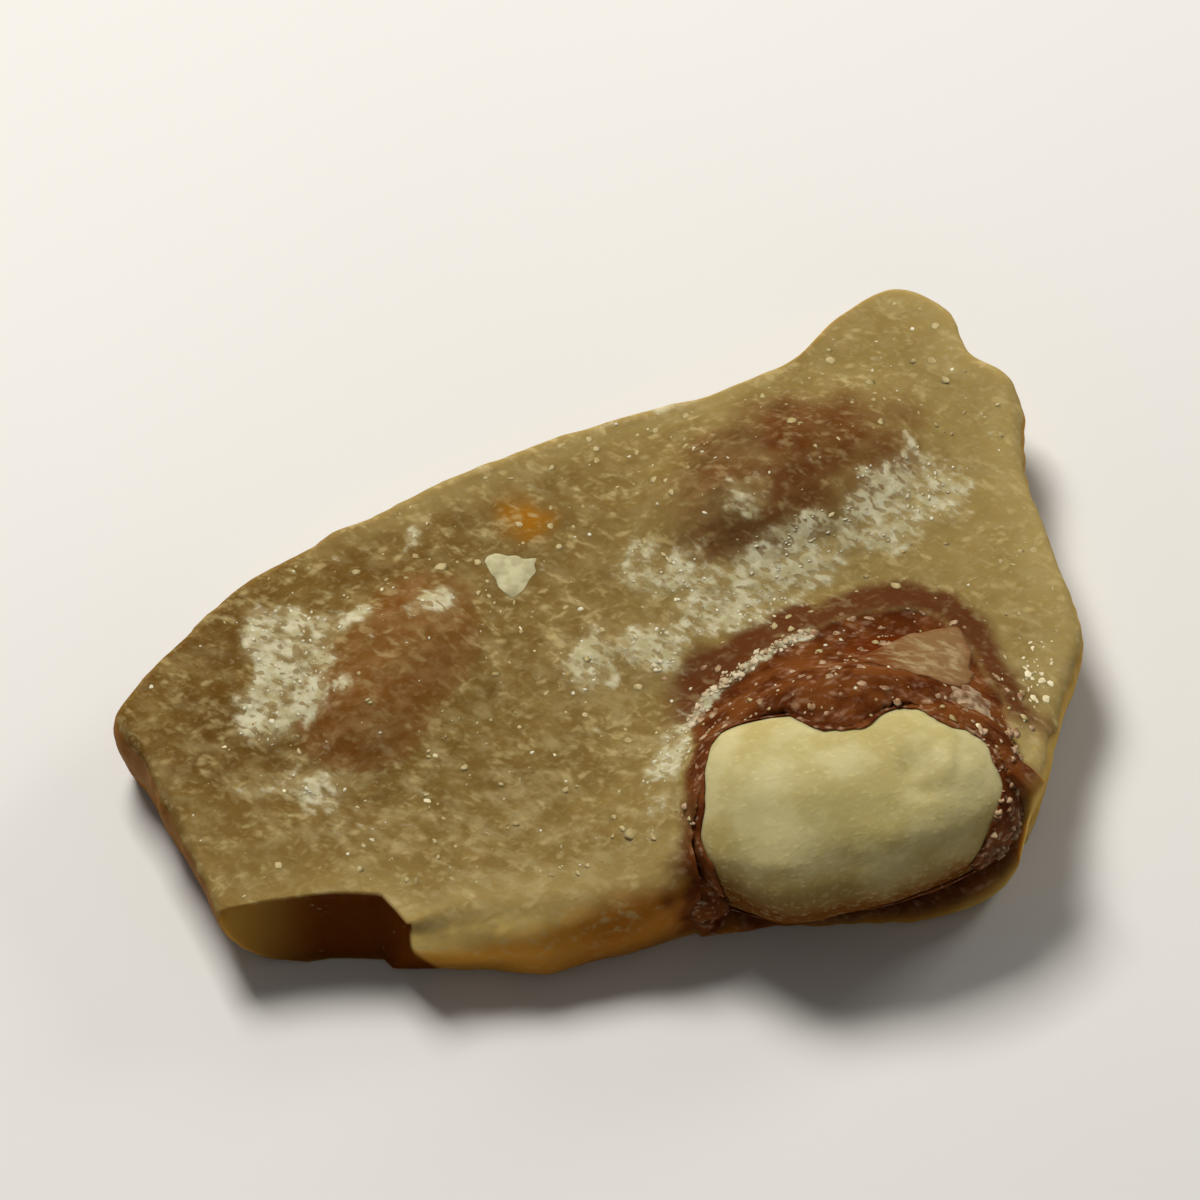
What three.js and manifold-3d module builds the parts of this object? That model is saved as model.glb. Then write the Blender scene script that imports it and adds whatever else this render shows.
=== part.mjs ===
// Peanut brittle piece: one broken slab of sugar candy with peanuts set in it.
// A large bare kernel sits in its torn red skin at the front right corner. Two smaller kernels,
// with their skins on, lie in the slab at the left and at the back, under low mounds of candy.
//
// Frame: millimetres, +Z up. The slab lies flat on z = 0 with its dusted side up, X runs along
// its length and +Y points to its back edge. The origin is below the middle of its outline.

import * as THREE from 'three';
import { mergeVertices } from 'three/addons/utils/BufferGeometryUtils.js';
import Module from 'manifold-3d';

const wasm = await Module();
wasm.setup();

// ---- Driving dimensions, in mm and degrees ----

const slabThickness = 5.2;
const edgeDrop = 1.7;          // height of the rounded upper edge
const edgeRound = 1.5;         // how far the upper edge is rounded in
const waveHeight = 0.16;       // gentle waves of the upper face
const waveLength = 17;
const edgeChips = 0.16;        // small scallops round the broken edge

const fitGap = 0.3;            // clearance between touching pieces
const skinThickness = 0.3;

// The slab's outline at its widest level, counterclockwise from the right-hand corner.
// The third number is how far the underside is set in below that point.
const slabOutline = [
  [23.8, -2.1, 0.5], [22.8, 3.3, 0.5], [21.4, 8.1, 0.5], [20.9, 13.3, 0.6],
  [18.9, 15.3, 0.6], [17.8, 18.0, 0.7], [15.2, 19.5, 0.7], [12.4, 17.9, 0.7],
  [10.0, 15.1, 0.6], [6.4, 13.2, 0.6], [-0.6, 10.8, 0.6], [-7.4, 7.7, 0.6],
  [-14.2, 3.6, 0.6], [-18.9, 0.0, 0.7], [-22.0, -3.8, 0.8], [-23.7, -6.9, 0.8],
  [-22.4, -9.3, 0.8], [-20.2, -13.7, 0.9], [-18.7, -17.3, 1.6], [-17.6, -18.9, 1.8],
  [-14.0, -19.4, 1.2], [-8.7, -19.5, 0.9], [-4.0, -19.5, 0.9], [0.4, -18.8, 0.9],
  [5.0, -17.3, 0.8], [9.0, -16.3, 0.8], [14.5, -16.1, 0.8], [19.2, -15.1, 0.8],
  [21.6, -11.9, 0.7], [22.5, -7.3, 0.5],
];
const outlineColumns = 88;
const topRows = 11;            // rings of the slab's grid: upper face, rounded edge, side, underside
const edgeRows = 4;
const sideRows = 3;
const undersideRows = 3;

// A chip is broken out of the front edge. These are the corners of its walls, seen from above.
const chipWall = [
  [-19.6, -18.8], [-15.6, -18.0], [-13.0, -17.7], [-10.4, -17.8], [-9.7, -18.6], [-8.5, -20.2],
];
const chipReach = 4;           // how far the chip's cutter runs out past the edge
const chipLean = 5;            // degrees that the broken face leans out at its foot

// Peanut kernels: half sizes, the middle's place, the turn of the long axis from X, and how
// much that axis climbs for each millimetre along it.
const frontKernel = {
  halfLength: 8.4, halfWidth: 5.8, halfHeight: 4.25, taper: 0.09, waist: 0.04, square: 0.74,
  x: 12.3, y: -12.8, z: 5.65, turn: 8, climb: 0.06,
};
const leftKernel = {
  halfLength: 6.6, halfWidth: 3.9, halfHeight: 2.8, taper: 0.10, waist: 0.03, square: 0.92,
  x: -9.8, y: -4.4, z: 3.5, turn: 60, climb: 0,
};
const backKernel = {
  halfLength: 7.6, halfWidth: 4.3, halfHeight: 3.1, taper: 0.12, waist: 0.03, square: 0.92,
  x: 9.0, y: 6.9, z: 3.7, turn: 20, climb: 0,
};
const kernelColumns = 26;
const kernelRows = 15;

// Low mounds of candy over the kernels: half sizes, place, turn and rise above the slab.
const mounds = [
  { halfLength: 10.6, halfWidth: 10.2, x: 13.0, y: -9.2, turn: 8, rise: 2.6 },
  { halfLength: 9.6, halfWidth: 7.0, x: -9.8, y: -4.4, turn: 60, rise: 0.85 },
  { halfLength: 11.0, halfWidth: 7.4, x: 9.0, y: 6.9, turn: 20, rise: 1.35 },
];
const collarRise = 1.2;        // the candy wells up this much against the front kernel
const collarWidth = 0.3;       // and falls away over this share of the kernel's half sizes

// The torn opening of the front kernel's skin. It faces up and to the front at this elevation.
// Its outline is measured from the kernel's middle, across and up, square to that direction.
const openingElevation = 55;
const openingDepth = 16;
const openingOutline = [
  [-7.4, -1.1], [-6.2, -5.9], [-3.0, -7.2], [4.0, -7.0], [6.2, -4.4], [7.3, 0.2], [7.0, 2.5],
  [5.7, 3.9], [3.1, 4.9], [0.9, 4.3], [-0.8, 4.0], [-3.1, 4.7], [-5.1, 4.6], [-7.0, 1.9],
];
const openingSteps = 40;

const colours = {
  candy: 0xa28a55,
  bareKernel: 0xc9bb85,
  skin: 0x6d3820,
};

// ---- Shared makers ----

const radians = THREE.MathUtils.degToRad;

/** A unit sphere's grid with every point moved to place(u, v), u round it and v from top to bottom. */
function reshapedSphere(columns, rows, place) {
  const grid = new THREE.SphereGeometry(1, columns, rows);
  const positions = grid.attributes.position;
  const uv = grid.attributes.uv;
  for (let i = 0; i < positions.count; i += 1) {
    const row = Math.round((1 - uv.getY(i)) * rows);
    const onPole = row === 0 || row === rows;
    const column = onPole ? 0 : Math.round(uv.getX(i) * columns) % columns;
    const point = place(column / columns, row / rows);
    positions.setXYZ(i, point.x, point.y, point.z);
  }
  return bare(grid);
}

/** The geometry with only its positions, and its shared corners merged. */
function bare(geometry) {
  geometry.deleteAttribute('normal');
  geometry.deleteAttribute('uv');
  return mergeVertices(geometry);
}

/** A closed geometry as a solid that can be joined and cut. */
function toSolid(geometry) {
  const vertProperties = Float32Array.from(geometry.attributes.position.array);
  const triVerts = Uint32Array.from(geometry.index.array);
  return new wasm.Manifold(new wasm.Mesh({ numProp: 3, vertProperties, triVerts }));
}

/** A solid back as a geometry. */
function toGeometry(solid) {
  const { vertProperties, triVerts, numProp } = solid.getMesh();
  const geometry = new THREE.BufferGeometry();
  const positions = new Float32Array(vertProperties.length / numProp * 3);
  for (let i = 0; i < positions.length / 3; i += 1) {
    positions.set(vertProperties.subarray(i * numProp, i * numProp + 3), i * 3);
  }
  geometry.setAttribute('position', new THREE.BufferAttribute(positions, 3));
  geometry.setIndex(new THREE.BufferAttribute(Uint32Array.from(triVerts), 1));
  return geometry;
}

/** How far a point is into an ellipse that lies flat: 0 in its middle and 1 on its rim. */
function ellipseReach(x, y, ellipse) {
  const turn = radians(ellipse.turn);
  const along = (x - ellipse.x) * Math.cos(turn) + (y - ellipse.y) * Math.sin(turn);
  const across = (y - ellipse.y) * Math.cos(turn) - (x - ellipse.x) * Math.sin(turn);
  return Math.hypot(along / ellipse.halfLength, across / ellipse.halfWidth);
}

// ---- The slab of candy ----

/** Height of the upper face: the slab, gentle waves, a mound over each kernel and the collar. */
function upperHeight(x, y) {
  const wave = Math.sin(2 * Math.PI * x / waveLength) * Math.cos(2 * Math.PI * y / waveLength);
  let height = slabThickness + waveHeight * wave;
  for (const mound of mounds) {
    const reach = Math.min(1, ellipseReach(x, y, mound));
    height += mound.rise * (1 + Math.cos(Math.PI * reach)) / 2;
  }
  const beyond = Math.max(0, ellipseReach(x, y, frontKernel) - 1);
  return height + collarRise * Math.exp(-((beyond / collarWidth) ** 2));
}

/** The outline's points and how far the underside is set in, evenly spaced. */
function outlineRing() {
  const corners = slabOutline.map(([x, y, inset]) => new THREE.Vector3(x, y, inset));
  const curve = new THREE.CatmullRomCurve3(corners, true, 'centripetal');
  return curve.getSpacedPoints(outlineColumns).map((corner, i) => {
    const angle = 2 * Math.PI * i / outlineColumns;
    const chips = edgeChips * (Math.sin(11 * angle) + Math.sin(23 * angle + 1)) / 2;
    const reach = Math.hypot(corner.x, corner.y);
    return { x: corner.x / reach, y: corner.y / reach, reach: reach + chips, inset: corner.z };
  });
}

/** The slab as one closed grid: upper face, rounded edge, side and flat underside. */
function slabSolid() {
  const ring = outlineRing();
  const rows = topRows + edgeRows + sideRows + undersideRows;
  const shoulder = slabThickness - edgeDrop;
  const geometry = reshapedSphere(outlineColumns, rows, (u, v) => {
    const edge = ring[Math.round(u * outlineColumns)];
    const row = Math.round(v * rows);
    const sideRow = row - topRows - edgeRows;
    if (row <= topRows) {
      const reach = (edge.reach - edgeRound) * row / topRows;
      const x = edge.x * reach;
      const y = edge.y * reach;
      return new THREE.Vector3(x, y, upperHeight(x, y));
    }
    if (sideRow <= 0) {
      const angle = Math.PI / 2 * (row - topRows) / edgeRows;
      const reach = edge.reach - edgeRound * (1 - Math.sin(angle));
      const rim = edge.reach - edgeRound;
      const top = upperHeight(edge.x * rim, edge.y * rim);
      const z = shoulder + (top - shoulder) * Math.cos(angle);
      return new THREE.Vector3(edge.x * reach, edge.y * reach, z);
    }
    const down = Math.min(1, sideRow / sideRows);
    const inward = Math.max(0, (sideRow - sideRows) / undersideRows);
    const reach = (edge.reach - edge.inset * down * down) * (1 - inward);
    return new THREE.Vector3(edge.x * reach, edge.y * reach, shoulder * (1 - down));
  });
  return toSolid(geometry);
}

/** The cutter for the chip: its walls seen from above, run out past the edge and leaning. */
function chipCutter() {
  const shape = new THREE.Shape();
  const [firstX, firstY] = chipWall[0];
  const [lastX, lastY] = chipWall[chipWall.length - 1];
  shape.moveTo(firstX, firstY);
  chipWall.slice(1).forEach(([x, y]) => shape.lineTo(x, y));
  shape.lineTo(lastX, lastY - chipReach);
  shape.lineTo(firstX, firstY - chipReach);
  const depth = 3 * slabThickness;
  const geometry = new THREE.ExtrudeGeometry(shape, { depth, bevelEnabled: false });
  geometry.translate(0, -firstY, -depth / 2);
  geometry.rotateX(-radians(chipLean));
  geometry.translate(0, firstY, slabThickness / 2);
  return toSolid(bare(geometry));
}

// ---- Peanut kernels ----

/** A kernel grown by a clearance: a blunt egg with a slight waist, laid flat and turned. */
function kernelSolid(kernel, grow) {
  const turn = radians(kernel.turn);
  const geometry = reshapedSphere(kernelColumns, kernelRows, (u, v) => {
    const along = Math.cos(Math.PI * v);
    const around = 2 * Math.PI * u;
    const blunt = Math.sign(along) * Math.abs(along) ** kernel.square;
    const belt = Math.sin(Math.PI * v) ** kernel.square;
    const girth = belt * (1 - kernel.taper * along) * (1 - kernel.waist * Math.exp(-((along / 0.4) ** 2)));
    const length = (kernel.halfLength + grow) * blunt;
    const width = (kernel.halfWidth + grow) * girth * Math.cos(around);
    const height = (kernel.halfHeight + grow) * girth * Math.sin(around);
    return new THREE.Vector3(
      kernel.x + length * Math.cos(turn) - width * Math.sin(turn),
      kernel.y + length * Math.sin(turn) + width * Math.cos(turn),
      kernel.z + height + kernel.climb * length,
    );
  });
  return toSolid(geometry);
}

/** The cutter for the torn opening of the front kernel's skin. */
function openingCutter() {
  const corners = openingOutline.map(([across, up]) => new THREE.Vector3(across, up, 0));
  const curve = new THREE.CatmullRomCurve3(corners, true, 'centripetal');
  const outline = curve.getSpacedPoints(openingSteps).slice(0, openingSteps);
  const shape = new THREE.Shape(outline.map(({ x, y }) => new THREE.Vector2(x, y)));
  const geometry = new THREE.ExtrudeGeometry(shape, { depth: openingDepth, bevelEnabled: false });
  geometry.rotateX(radians(90 - openingElevation));
  geometry.translate(frontKernel.x, frontKernel.y, frontKernel.z);
  return toSolid(bare(geometry));
}

/** The torn skin: a thin shell round the front kernel, open where the kernel is bare. */
function skinSolid() {
  const outside = kernelSolid(frontKernel, fitGap + skinThickness);
  const inside = kernelSolid(frontKernel, fitGap);
  return outside.subtract(inside).subtract(openingCutter());
}

/** The slab with its chip and with a pocket for each kernel. */
function candySolid() {
  return slabSolid()
    .subtract(chipCutter())
    .subtract(kernelSolid(frontKernel, 2 * fitGap + skinThickness))
    .subtract(kernelSolid(leftKernel, fitGap))
    .subtract(kernelSolid(backKernel, fitGap));
}

// ---- Materials and the finished piece ----

function dustedCandy() {
  return new THREE.MeshStandardMaterial({ color: colours.candy, roughness: 0.55, metalness: 0 });
}

function bareKernelFlesh() {
  return new THREE.MeshStandardMaterial({ color: colours.bareKernel, roughness: 0.6, metalness: 0 });
}

function paperySkin() {
  return new THREE.MeshStandardMaterial({ color: colours.skin, roughness: 0.5, metalness: 0 });
}

/** A named mesh of one solid. */
function piece(name, solid, material) {
  const mesh = new THREE.Mesh(toGeometry(solid), material);
  mesh.name = name;
  return mesh;
}

const brittle = new THREE.Group();
brittle.add(piece('candy', candySolid(), dustedCandy()));
brittle.add(piece('peanut_front', kernelSolid(frontKernel, 0), bareKernelFlesh()));
brittle.add(piece('skin_front', skinSolid(), paperySkin()));
brittle.add(piece('peanut_left', kernelSolid(leftKernel, 0), paperySkin()));
brittle.add(piece('peanut_back', kernelSolid(backKernel, 0), paperySkin()));

export default brittle;
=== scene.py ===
# %% [markdown]
# # A piece of peanut brittle
# Peanut brittle is sugar boiled to an amber glass, stirred with peanuts, poured thin on a cool
# slab and broken by hand once it is hard. This lesson models one broken piece: a slab about as
# long as a thumb, its upper face dulled by sugar and peanut dust, with one large bare kernel at
# the corner and two more kernels that show only as brown patches under a thin film of candy.
#
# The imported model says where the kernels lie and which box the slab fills. Everything here is
# worked out in millimetres with numpy and turned into metres when a mesh is made.

# %% Load the fixed frame
import math

import bpy
import numpy as np
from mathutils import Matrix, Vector


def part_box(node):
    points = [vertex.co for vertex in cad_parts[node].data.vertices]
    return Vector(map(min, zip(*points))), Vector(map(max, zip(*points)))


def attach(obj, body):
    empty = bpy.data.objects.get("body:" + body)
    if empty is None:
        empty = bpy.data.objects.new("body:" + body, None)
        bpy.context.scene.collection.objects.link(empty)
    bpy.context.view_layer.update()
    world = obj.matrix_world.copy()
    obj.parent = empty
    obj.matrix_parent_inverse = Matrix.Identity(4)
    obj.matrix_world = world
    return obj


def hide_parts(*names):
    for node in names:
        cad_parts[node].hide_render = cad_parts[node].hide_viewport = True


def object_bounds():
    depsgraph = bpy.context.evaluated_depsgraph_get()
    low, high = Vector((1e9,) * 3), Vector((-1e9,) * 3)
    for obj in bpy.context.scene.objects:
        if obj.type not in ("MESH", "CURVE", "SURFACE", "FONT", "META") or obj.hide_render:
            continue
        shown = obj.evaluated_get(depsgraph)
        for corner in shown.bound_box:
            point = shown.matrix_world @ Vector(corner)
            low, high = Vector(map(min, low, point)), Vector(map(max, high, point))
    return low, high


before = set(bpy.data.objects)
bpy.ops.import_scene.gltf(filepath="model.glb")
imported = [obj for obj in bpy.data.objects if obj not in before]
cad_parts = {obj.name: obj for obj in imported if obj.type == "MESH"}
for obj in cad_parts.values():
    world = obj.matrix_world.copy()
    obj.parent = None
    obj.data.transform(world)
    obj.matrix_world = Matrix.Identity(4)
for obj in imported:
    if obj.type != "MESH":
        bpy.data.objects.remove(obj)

MM = 0.001
cad_low, cad_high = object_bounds()
print("CAD box, mm:", [round(side / MM, 2) for side in cad_high - cad_low])

# %% [markdown]
# ## The camera, the floor and the light
# A sweet in a dish is looked down on, so the camera stands 55 degrees above the slab's face. A
# long lens from a little way off keeps the slab's edges nearly parallel.

# %% Camera
VIEW_ELEVATION = 55
LENS = 300
FRAME_WIDTH = 59 * MM


def place_camera():
    """A camera that looks at the middle of the piece and takes in FRAME_WIDTH of it."""
    middle = (cad_low + cad_high) / 2
    data = bpy.data.cameras.new("camera")
    data.lens = LENS
    distance = FRAME_WIDTH * LENS / data.sensor_width
    data.clip_start = 0.1 * distance
    tilt = math.radians(VIEW_ELEVATION)
    back = Vector((0, -math.cos(tilt), math.sin(tilt)))
    camera = bpy.data.objects.new("camera", data)
    camera.location = middle + back * distance
    camera.rotation_euler = (math.pi / 2 - tilt, 0, 0)
    bpy.context.scene.collection.objects.link(camera)
    bpy.context.scene.camera = camera
    print("camera distance, mm:", round(distance / MM))


place_camera()

# %% [markdown]
# The light is a large soft panel above and behind the piece and a small one behind it to the
# right, so that its upper face is bright and its front sides fall into shade. A weak panel in
# front keeps the shade readable.


# %% Lights and colour
def panel(name, place, size, watts, colour):
    """A square area light at place (mm) that faces the origin, under the piece's middle."""
    data = bpy.data.lights.new(name, "AREA")
    data.size = size * MM
    data.energy = watts
    data.color = colour
    light = bpy.data.objects.new(name, data)
    light.location = Vector(place) * MM
    light.rotation_euler = (-light.location).to_track_quat("-Z", "Y").to_euler()
    bpy.context.scene.collection.objects.link(light)
    return light


panel("sky_panel", (-100, 150, 300), size=130, watts=1.45, colour=(1.0, 0.97, 0.91))
panel("window_panel", (200, 160, 130), size=90, watts=0.22, colour=(1.0, 0.97, 0.92))
panel("front_panel", (60, -330, 180), size=200, watts=0.07, colour=(1.0, 0.88, 0.70))

world = bpy.data.worlds.new("studio")
world.use_nodes = True
world.node_tree.nodes["Background"].inputs["Color"].default_value = (1.0, 0.97, 0.92, 1)
world.node_tree.nodes["Background"].inputs["Strength"].default_value = 0.13
bpy.context.scene.world = world
bpy.context.scene.view_settings.view_transform = "Standard"

# %% [markdown]
# ## Tools for shapes
# Every piece is a grid of points worked out as whole arrays. These few helpers turn arrays into
# meshes, draw smooth curves through a few corners and give smooth random unevenness.


# %% Mesh helpers
def new_piece(name, places, *faces):
    """A mesh object from places in mm and arrays of faces, one array for each number of corners."""
    corners = np.concatenate([part.ravel() for part in faces]).astype(np.int32)
    sizes = np.concatenate([np.full(len(part), part.shape[1]) for part in faces])
    starts = np.concatenate([[0], np.cumsum(sizes)[:-1]]).astype(np.int32)
    mesh = bpy.data.meshes.new(name)
    mesh.vertices.add(len(places))
    mesh.vertices.foreach_set("co", (places * MM).astype(np.float32).ravel())
    mesh.loops.add(len(corners))
    mesh.loops.foreach_set("vertex_index", corners)
    mesh.polygons.add(len(sizes))
    mesh.polygons.foreach_set("loop_start", starts)
    mesh.update(calc_edges=True)
    mesh.shade_smooth()
    piece = bpy.data.objects.new(name, mesh)
    bpy.context.scene.collection.objects.link(piece)
    print(name, "has", int(np.sum(sizes - 2)), "triangles")
    return piece


def closed_grid(rows):
    """Places and faces of a grid (rows, columns, 3) that closes round its columns.

    The first and last rows are single points, the poles. Seen from outside, columns run
    counterclockwise about the first pole, so that all the faces look out."""
    count, columns = rows.shape[:2]
    places = np.concatenate([rows[0, :1], rows[1:-1].reshape(-1, 3), rows[-1, :1]])
    here = np.arange(columns)
    after = (here + 1) % columns
    ring = 1 + np.arange(count - 3)[:, None] * columns
    below, below_after = ring + columns + here, ring + columns + after
    quads = np.stack([ring + here, below, below_after, ring + after], axis=-1)
    top = np.stack([np.zeros_like(here), 1 + here, 1 + after], axis=-1)
    last = len(places) - 1
    base = last - columns
    bottom = np.stack([np.full_like(here, last), base + after, base + here], axis=-1)
    return places, quads.reshape(-1, 4), np.concatenate([top, bottom])


def store(piece, name, values):
    """Keeps one number per vertex as an attribute that a material can read."""
    attribute = piece.data.attributes.new(name, "FLOAT", "POINT")
    attribute.data.foreach_set("value", np.clip(values, 0, 1).astype(np.float32))


# %% [markdown]
# An outline is told by a few corners that a smooth closed curve runs through. A subdivided
# polygon would do as well, but a curve gives evenly spaced points, and with them even faces.


# %% Smooth closed curve
def closed_curve(corners, count):
    """A smooth closed curve through the corners, as count evenly spaced points.

    Each stretch is a Hermite cubic. Its end slopes come from the corners on either side, and
    its pace from the square root of their distance (a centripetal Catmull-Rom spline)."""
    before, here, after, later = (np.roll(corners, step, axis=0) for step in (1, 0, -1, -2))

    def pace(a, b):
        return np.sum((b - a)[:, :3] ** 2, axis=1, keepdims=True) ** 0.25

    p, q, r = pace(before, here), pace(here, after), pace(after, later)
    leave = q * ((here - before) / p - (after - before) / (p + q) + (after - here) / q)
    arrive = q * ((after - here) / q - (later - here) / (q + r) + (later - after) / r)
    t = np.linspace(0, 1, 60, endpoint=False)[:, None, None]
    path = (
        (2 * t**3 - 3 * t**2 + 1) * here + (t**3 - 2 * t**2 + t) * leave
        + (3 * t**2 - 2 * t**3) * after + (t**3 - t**2) * arrive
    )
    path = path.transpose(1, 0, 2).reshape(-1, corners.shape[1])
    path = np.concatenate([path, path[:1]])
    length = np.concatenate([[0], np.cumsum(np.linalg.norm(np.diff(path[:, :2], axis=0), axis=1))])
    even = np.linspace(0, length[-1], count, endpoint=False)
    return np.stack([np.interp(even, length, column) for column in path.T], axis=1)


square = closed_curve(np.array([[1.0, 1], [-1, 1], [-1, -1], [1, -1]]), 12)
print("a curve through a square's corners is", np.ptp(square[:, 0]).round(2), "wide, not 2")

# %% [markdown]
# Candy is uneven at every size. Noise is made here and not by a Displace modifier, so that the
# slab, the powder on it and the grains can all ask the same function how high a place is.


# %% Steps and unevenness
def smooth_step(low, high, value):
    """0 below low and 1 above high, with a smooth change between."""
    t = np.clip((value - low) / (high - low), 0, 1)
    return t * t * (3 - 2 * t)


def uneven(places, size, seed):
    """Smooth random unevenness from -1 to 1 with bumps of about the given size in mm.

    Random heights on a cubic lattice, blended with smooth steps. The lattice is turned, so
    that its rows don't show. Each seed gives another pattern."""
    table = np.random.default_rng(seed).uniform(-1, 1, (64, 64, 64))
    turn = np.array([[0.8, 0.48, -0.36], [-0.6, 0.64, -0.48], [0, 0.6, 0.8]])
    scaled = places @ turn.T / size + 300.5
    base = np.floor(scaled).astype(int)
    part = scaled - base
    part = part * part * (3 - 2 * part)
    total = 0
    for corner in np.ndindex(2, 2, 2):
        weight = np.prod(np.where(np.array(corner) > 0, part, 1 - part), axis=-1)
        index = (base + corner) % 64
        total = total + weight * table[index[..., 0], index[..., 1], index[..., 2]]
    return total


def with_height(x, y, z=0.0):
    """Places from separate arrays of x, y and z."""
    x, y, z = np.broadcast_arrays(x, y, z)
    return np.stack([x, y, z], axis=-1)


def on_plan(outline):
    """An outline's places laid on the plan, for asking the noise."""
    return with_height(outline[:, 0], outline[:, 1])


def turned(x, y, degrees):
    """The plan place (x, y) measured along and across an axis that is turned from X."""
    angle = math.radians(degrees)
    return x * math.cos(angle) + y * math.sin(angle), y * math.cos(angle) - x * math.sin(angle)


print("unevenness at the middle:", uneven(np.zeros((1, 3)), 3.0, 1).round(3))

# %% [markdown]
# ## The kernels
# A peanut kernel is a blunt egg with a slight waist. The same formula makes its mesh, tells the
# candy where the kernel lies, and says how deep the candy over it is, so the three always agree.

# %% Kernel sizes
KERNELS = {
    "peanut_front": dict(
        half=(8.4, 5.8, 4.25), taper=0.09, waist=0.04, square=0.74, turn=8, rise=0.06
    ),
    "peanut_left": dict(half=(6.6, 3.9, 2.8), taper=0.10, waist=0.03, square=0.92, turn=60, rise=0),
    "peanut_back": dict(half=(7.6, 4.3, 3.1), taper=0.12, waist=0.03, square=0.92, turn=20, rise=0),
}
for node, kernel in KERNELS.items():
    low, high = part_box(node)
    kernel["middle"] = np.array((low + high) / 2) / MM
    print(node, "middle, mm:", kernel["middle"].round(2))

front = KERNELS["peanut_front"]

# %% [markdown]
# The kernel is a lathe shape that has been flattened. Its girth is told as a share of its full
# thickness at each place along it. The same girth serves the mesh, the height over a plan place
# and the search along a ray, so the three can't drift apart.


# %% Girth
def kernel_girth(kernel, along):
    """How thick the kernel is at a share of its length from -1 to 1.

    A circle's height raised to a power makes the ends blunt, a straight factor makes one end
    slimmer, and a bell curve taken off in the middle makes the waist."""
    belt = (1 - along**2) ** (kernel["square"] / 2)
    waist = 1 - kernel["waist"] * np.exp(-((along / 0.4) ** 2))
    return belt * (1 - kernel["taper"] * along) * waist


print("girth at the ends and the middle:", kernel_girth(front, np.array([-0.9, 0, 0.9])).round(2))


# %% Height, grid and ray
def kernel_heights(kernel, x, y, grow=0.0):
    """The kernel's lower and upper surface over plan places, and which places meet the kernel.

    Outside the plan outline both are the height of the kernel's axis there."""
    length, width, height = (side + grow for side in kernel["half"])
    middle = kernel["middle"]
    along_mm, across_mm = turned(x - middle[0], y - middle[1], kernel["turn"])
    along = np.clip(np.abs(along_mm) / length, 0, 1) ** (1 / kernel["square"]) * np.sign(along_mm)
    girth = np.maximum(kernel_girth(kernel, along), 1e-6)
    dome = height * girth * np.sqrt(np.clip(1 - (across_mm / (width * girth)) ** 2, 0, 1))
    axis = middle[2] + kernel["rise"] * np.clip(along_mm, -length, length)
    return axis - dome, axis + dome, dome > 0


def kernel_shape(kernel, columns, rows, grow=0.0):
    """The kernel as a closed grid: v runs along it from pole to pole, u runs round it.

    A kernel with a rise is sheared, so that its far end lies higher than its near end."""
    v = np.linspace(0, 1, rows + 1)[:, None]
    u = np.arange(columns)[None, :] / columns
    along = np.cos(np.pi * v)
    girth = kernel_girth(kernel, along)
    length, width, height = (side + grow for side in kernel["half"])
    reach = length * np.sign(along) * np.abs(along) ** kernel["square"] + 0 * u
    side = width * girth * np.cos(2 * np.pi * u)
    up = height * girth * np.sin(2 * np.pi * u) + kernel["rise"] * reach
    return with_height(*turned(reach, side, -kernel["turn"]), up) + kernel["middle"]


def kernel_ray(kernel, directions):
    """How far the kernel's surface is from its middle along each unit direction.

    The distance is found by halving: a point is inside while its share of the kernel's girth
    at its place along the kernel is under one."""
    length, width, height = kernel["half"]
    along_axis, across_axis = turned(directions[..., 0], directions[..., 1], kernel["turn"])
    up_axis = directions[..., 2] - kernel["rise"] * along_axis
    near, far = np.zeros(along_axis.shape), np.full(along_axis.shape, 1.2 * length)
    for _ in range(24):
        middle = (near + far) / 2
        share = np.clip(np.abs(middle * along_axis) / length, 0, 1) ** (1 / kernel["square"])
        girth = np.maximum(kernel_girth(kernel, share * np.sign(along_axis)), 1e-6)
        filled = np.hypot(middle * across_axis / width, middle * up_axis / height) / girth
        inside = (filled < 1) & (share < 1)
        near, far = np.where(inside, middle, near), np.where(inside, far, middle)
    return near


upward = kernel_ray(front, np.array([0.0, 0, 1]))
print("the front kernel rises", upward.round(2), "mm above its middle")

# %% [markdown]
# The front kernel's skin was rubbed off where the kernel looks out. The opening is drawn as a
# scalloped outline seen square on, and carried onto the kernel: at each angle round the opening
# a direction from the kernel's middle leans out until its point reaches the outline.

# %% The torn opening
OPENING_TILT = math.radians(VIEW_ELEVATION)
VIEW_OUT = np.array([0, -math.cos(OPENING_TILT), math.sin(OPENING_TILT)])
VIEW_UP = np.array([0, math.sin(OPENING_TILT), math.cos(OPENING_TILT)])
# across and up from the kernel's middle, square to the direction that the opening looks in
OPENING = np.array([
    [-7.2, -2.6], [-7.4, -1.1], [-7.1, 0.5], [-6.9, 2.0], [-6.4, 3.5], [-5.5, 4.8],
    [-4.6, 5.2], [-3.5, 5.0], [-2.5, 4.5], [-1.5, 4.05], [-0.5, 4.0], [0.7, 4.2],
    [1.5, 4.7], [2.3, 5.0], [3.1, 5.0], [3.9, 4.6], [4.7, 4.1], [5.7, 3.9],
    [6.5, 3.3], [7.0, 2.5], [7.4, 1.6], [7.3, 0.2], [7.0, -1.6], [6.2, -4.4],
    [4.0, -7.0], [-3.0, -7.2], [-6.2, -5.9],
])
OPENING_COLUMNS = 420
AROUND = 2 * np.pi * np.arange(OPENING_COLUMNS) / OPENING_COLUMNS
# how ragged the tear is in mm, and how many degrees it may reach past the kernel's limb
TEAR = 0.1
PAST_LIMB = 12
print("the opening is", np.ptp(OPENING, axis=0), "mm wide and high")


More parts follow.
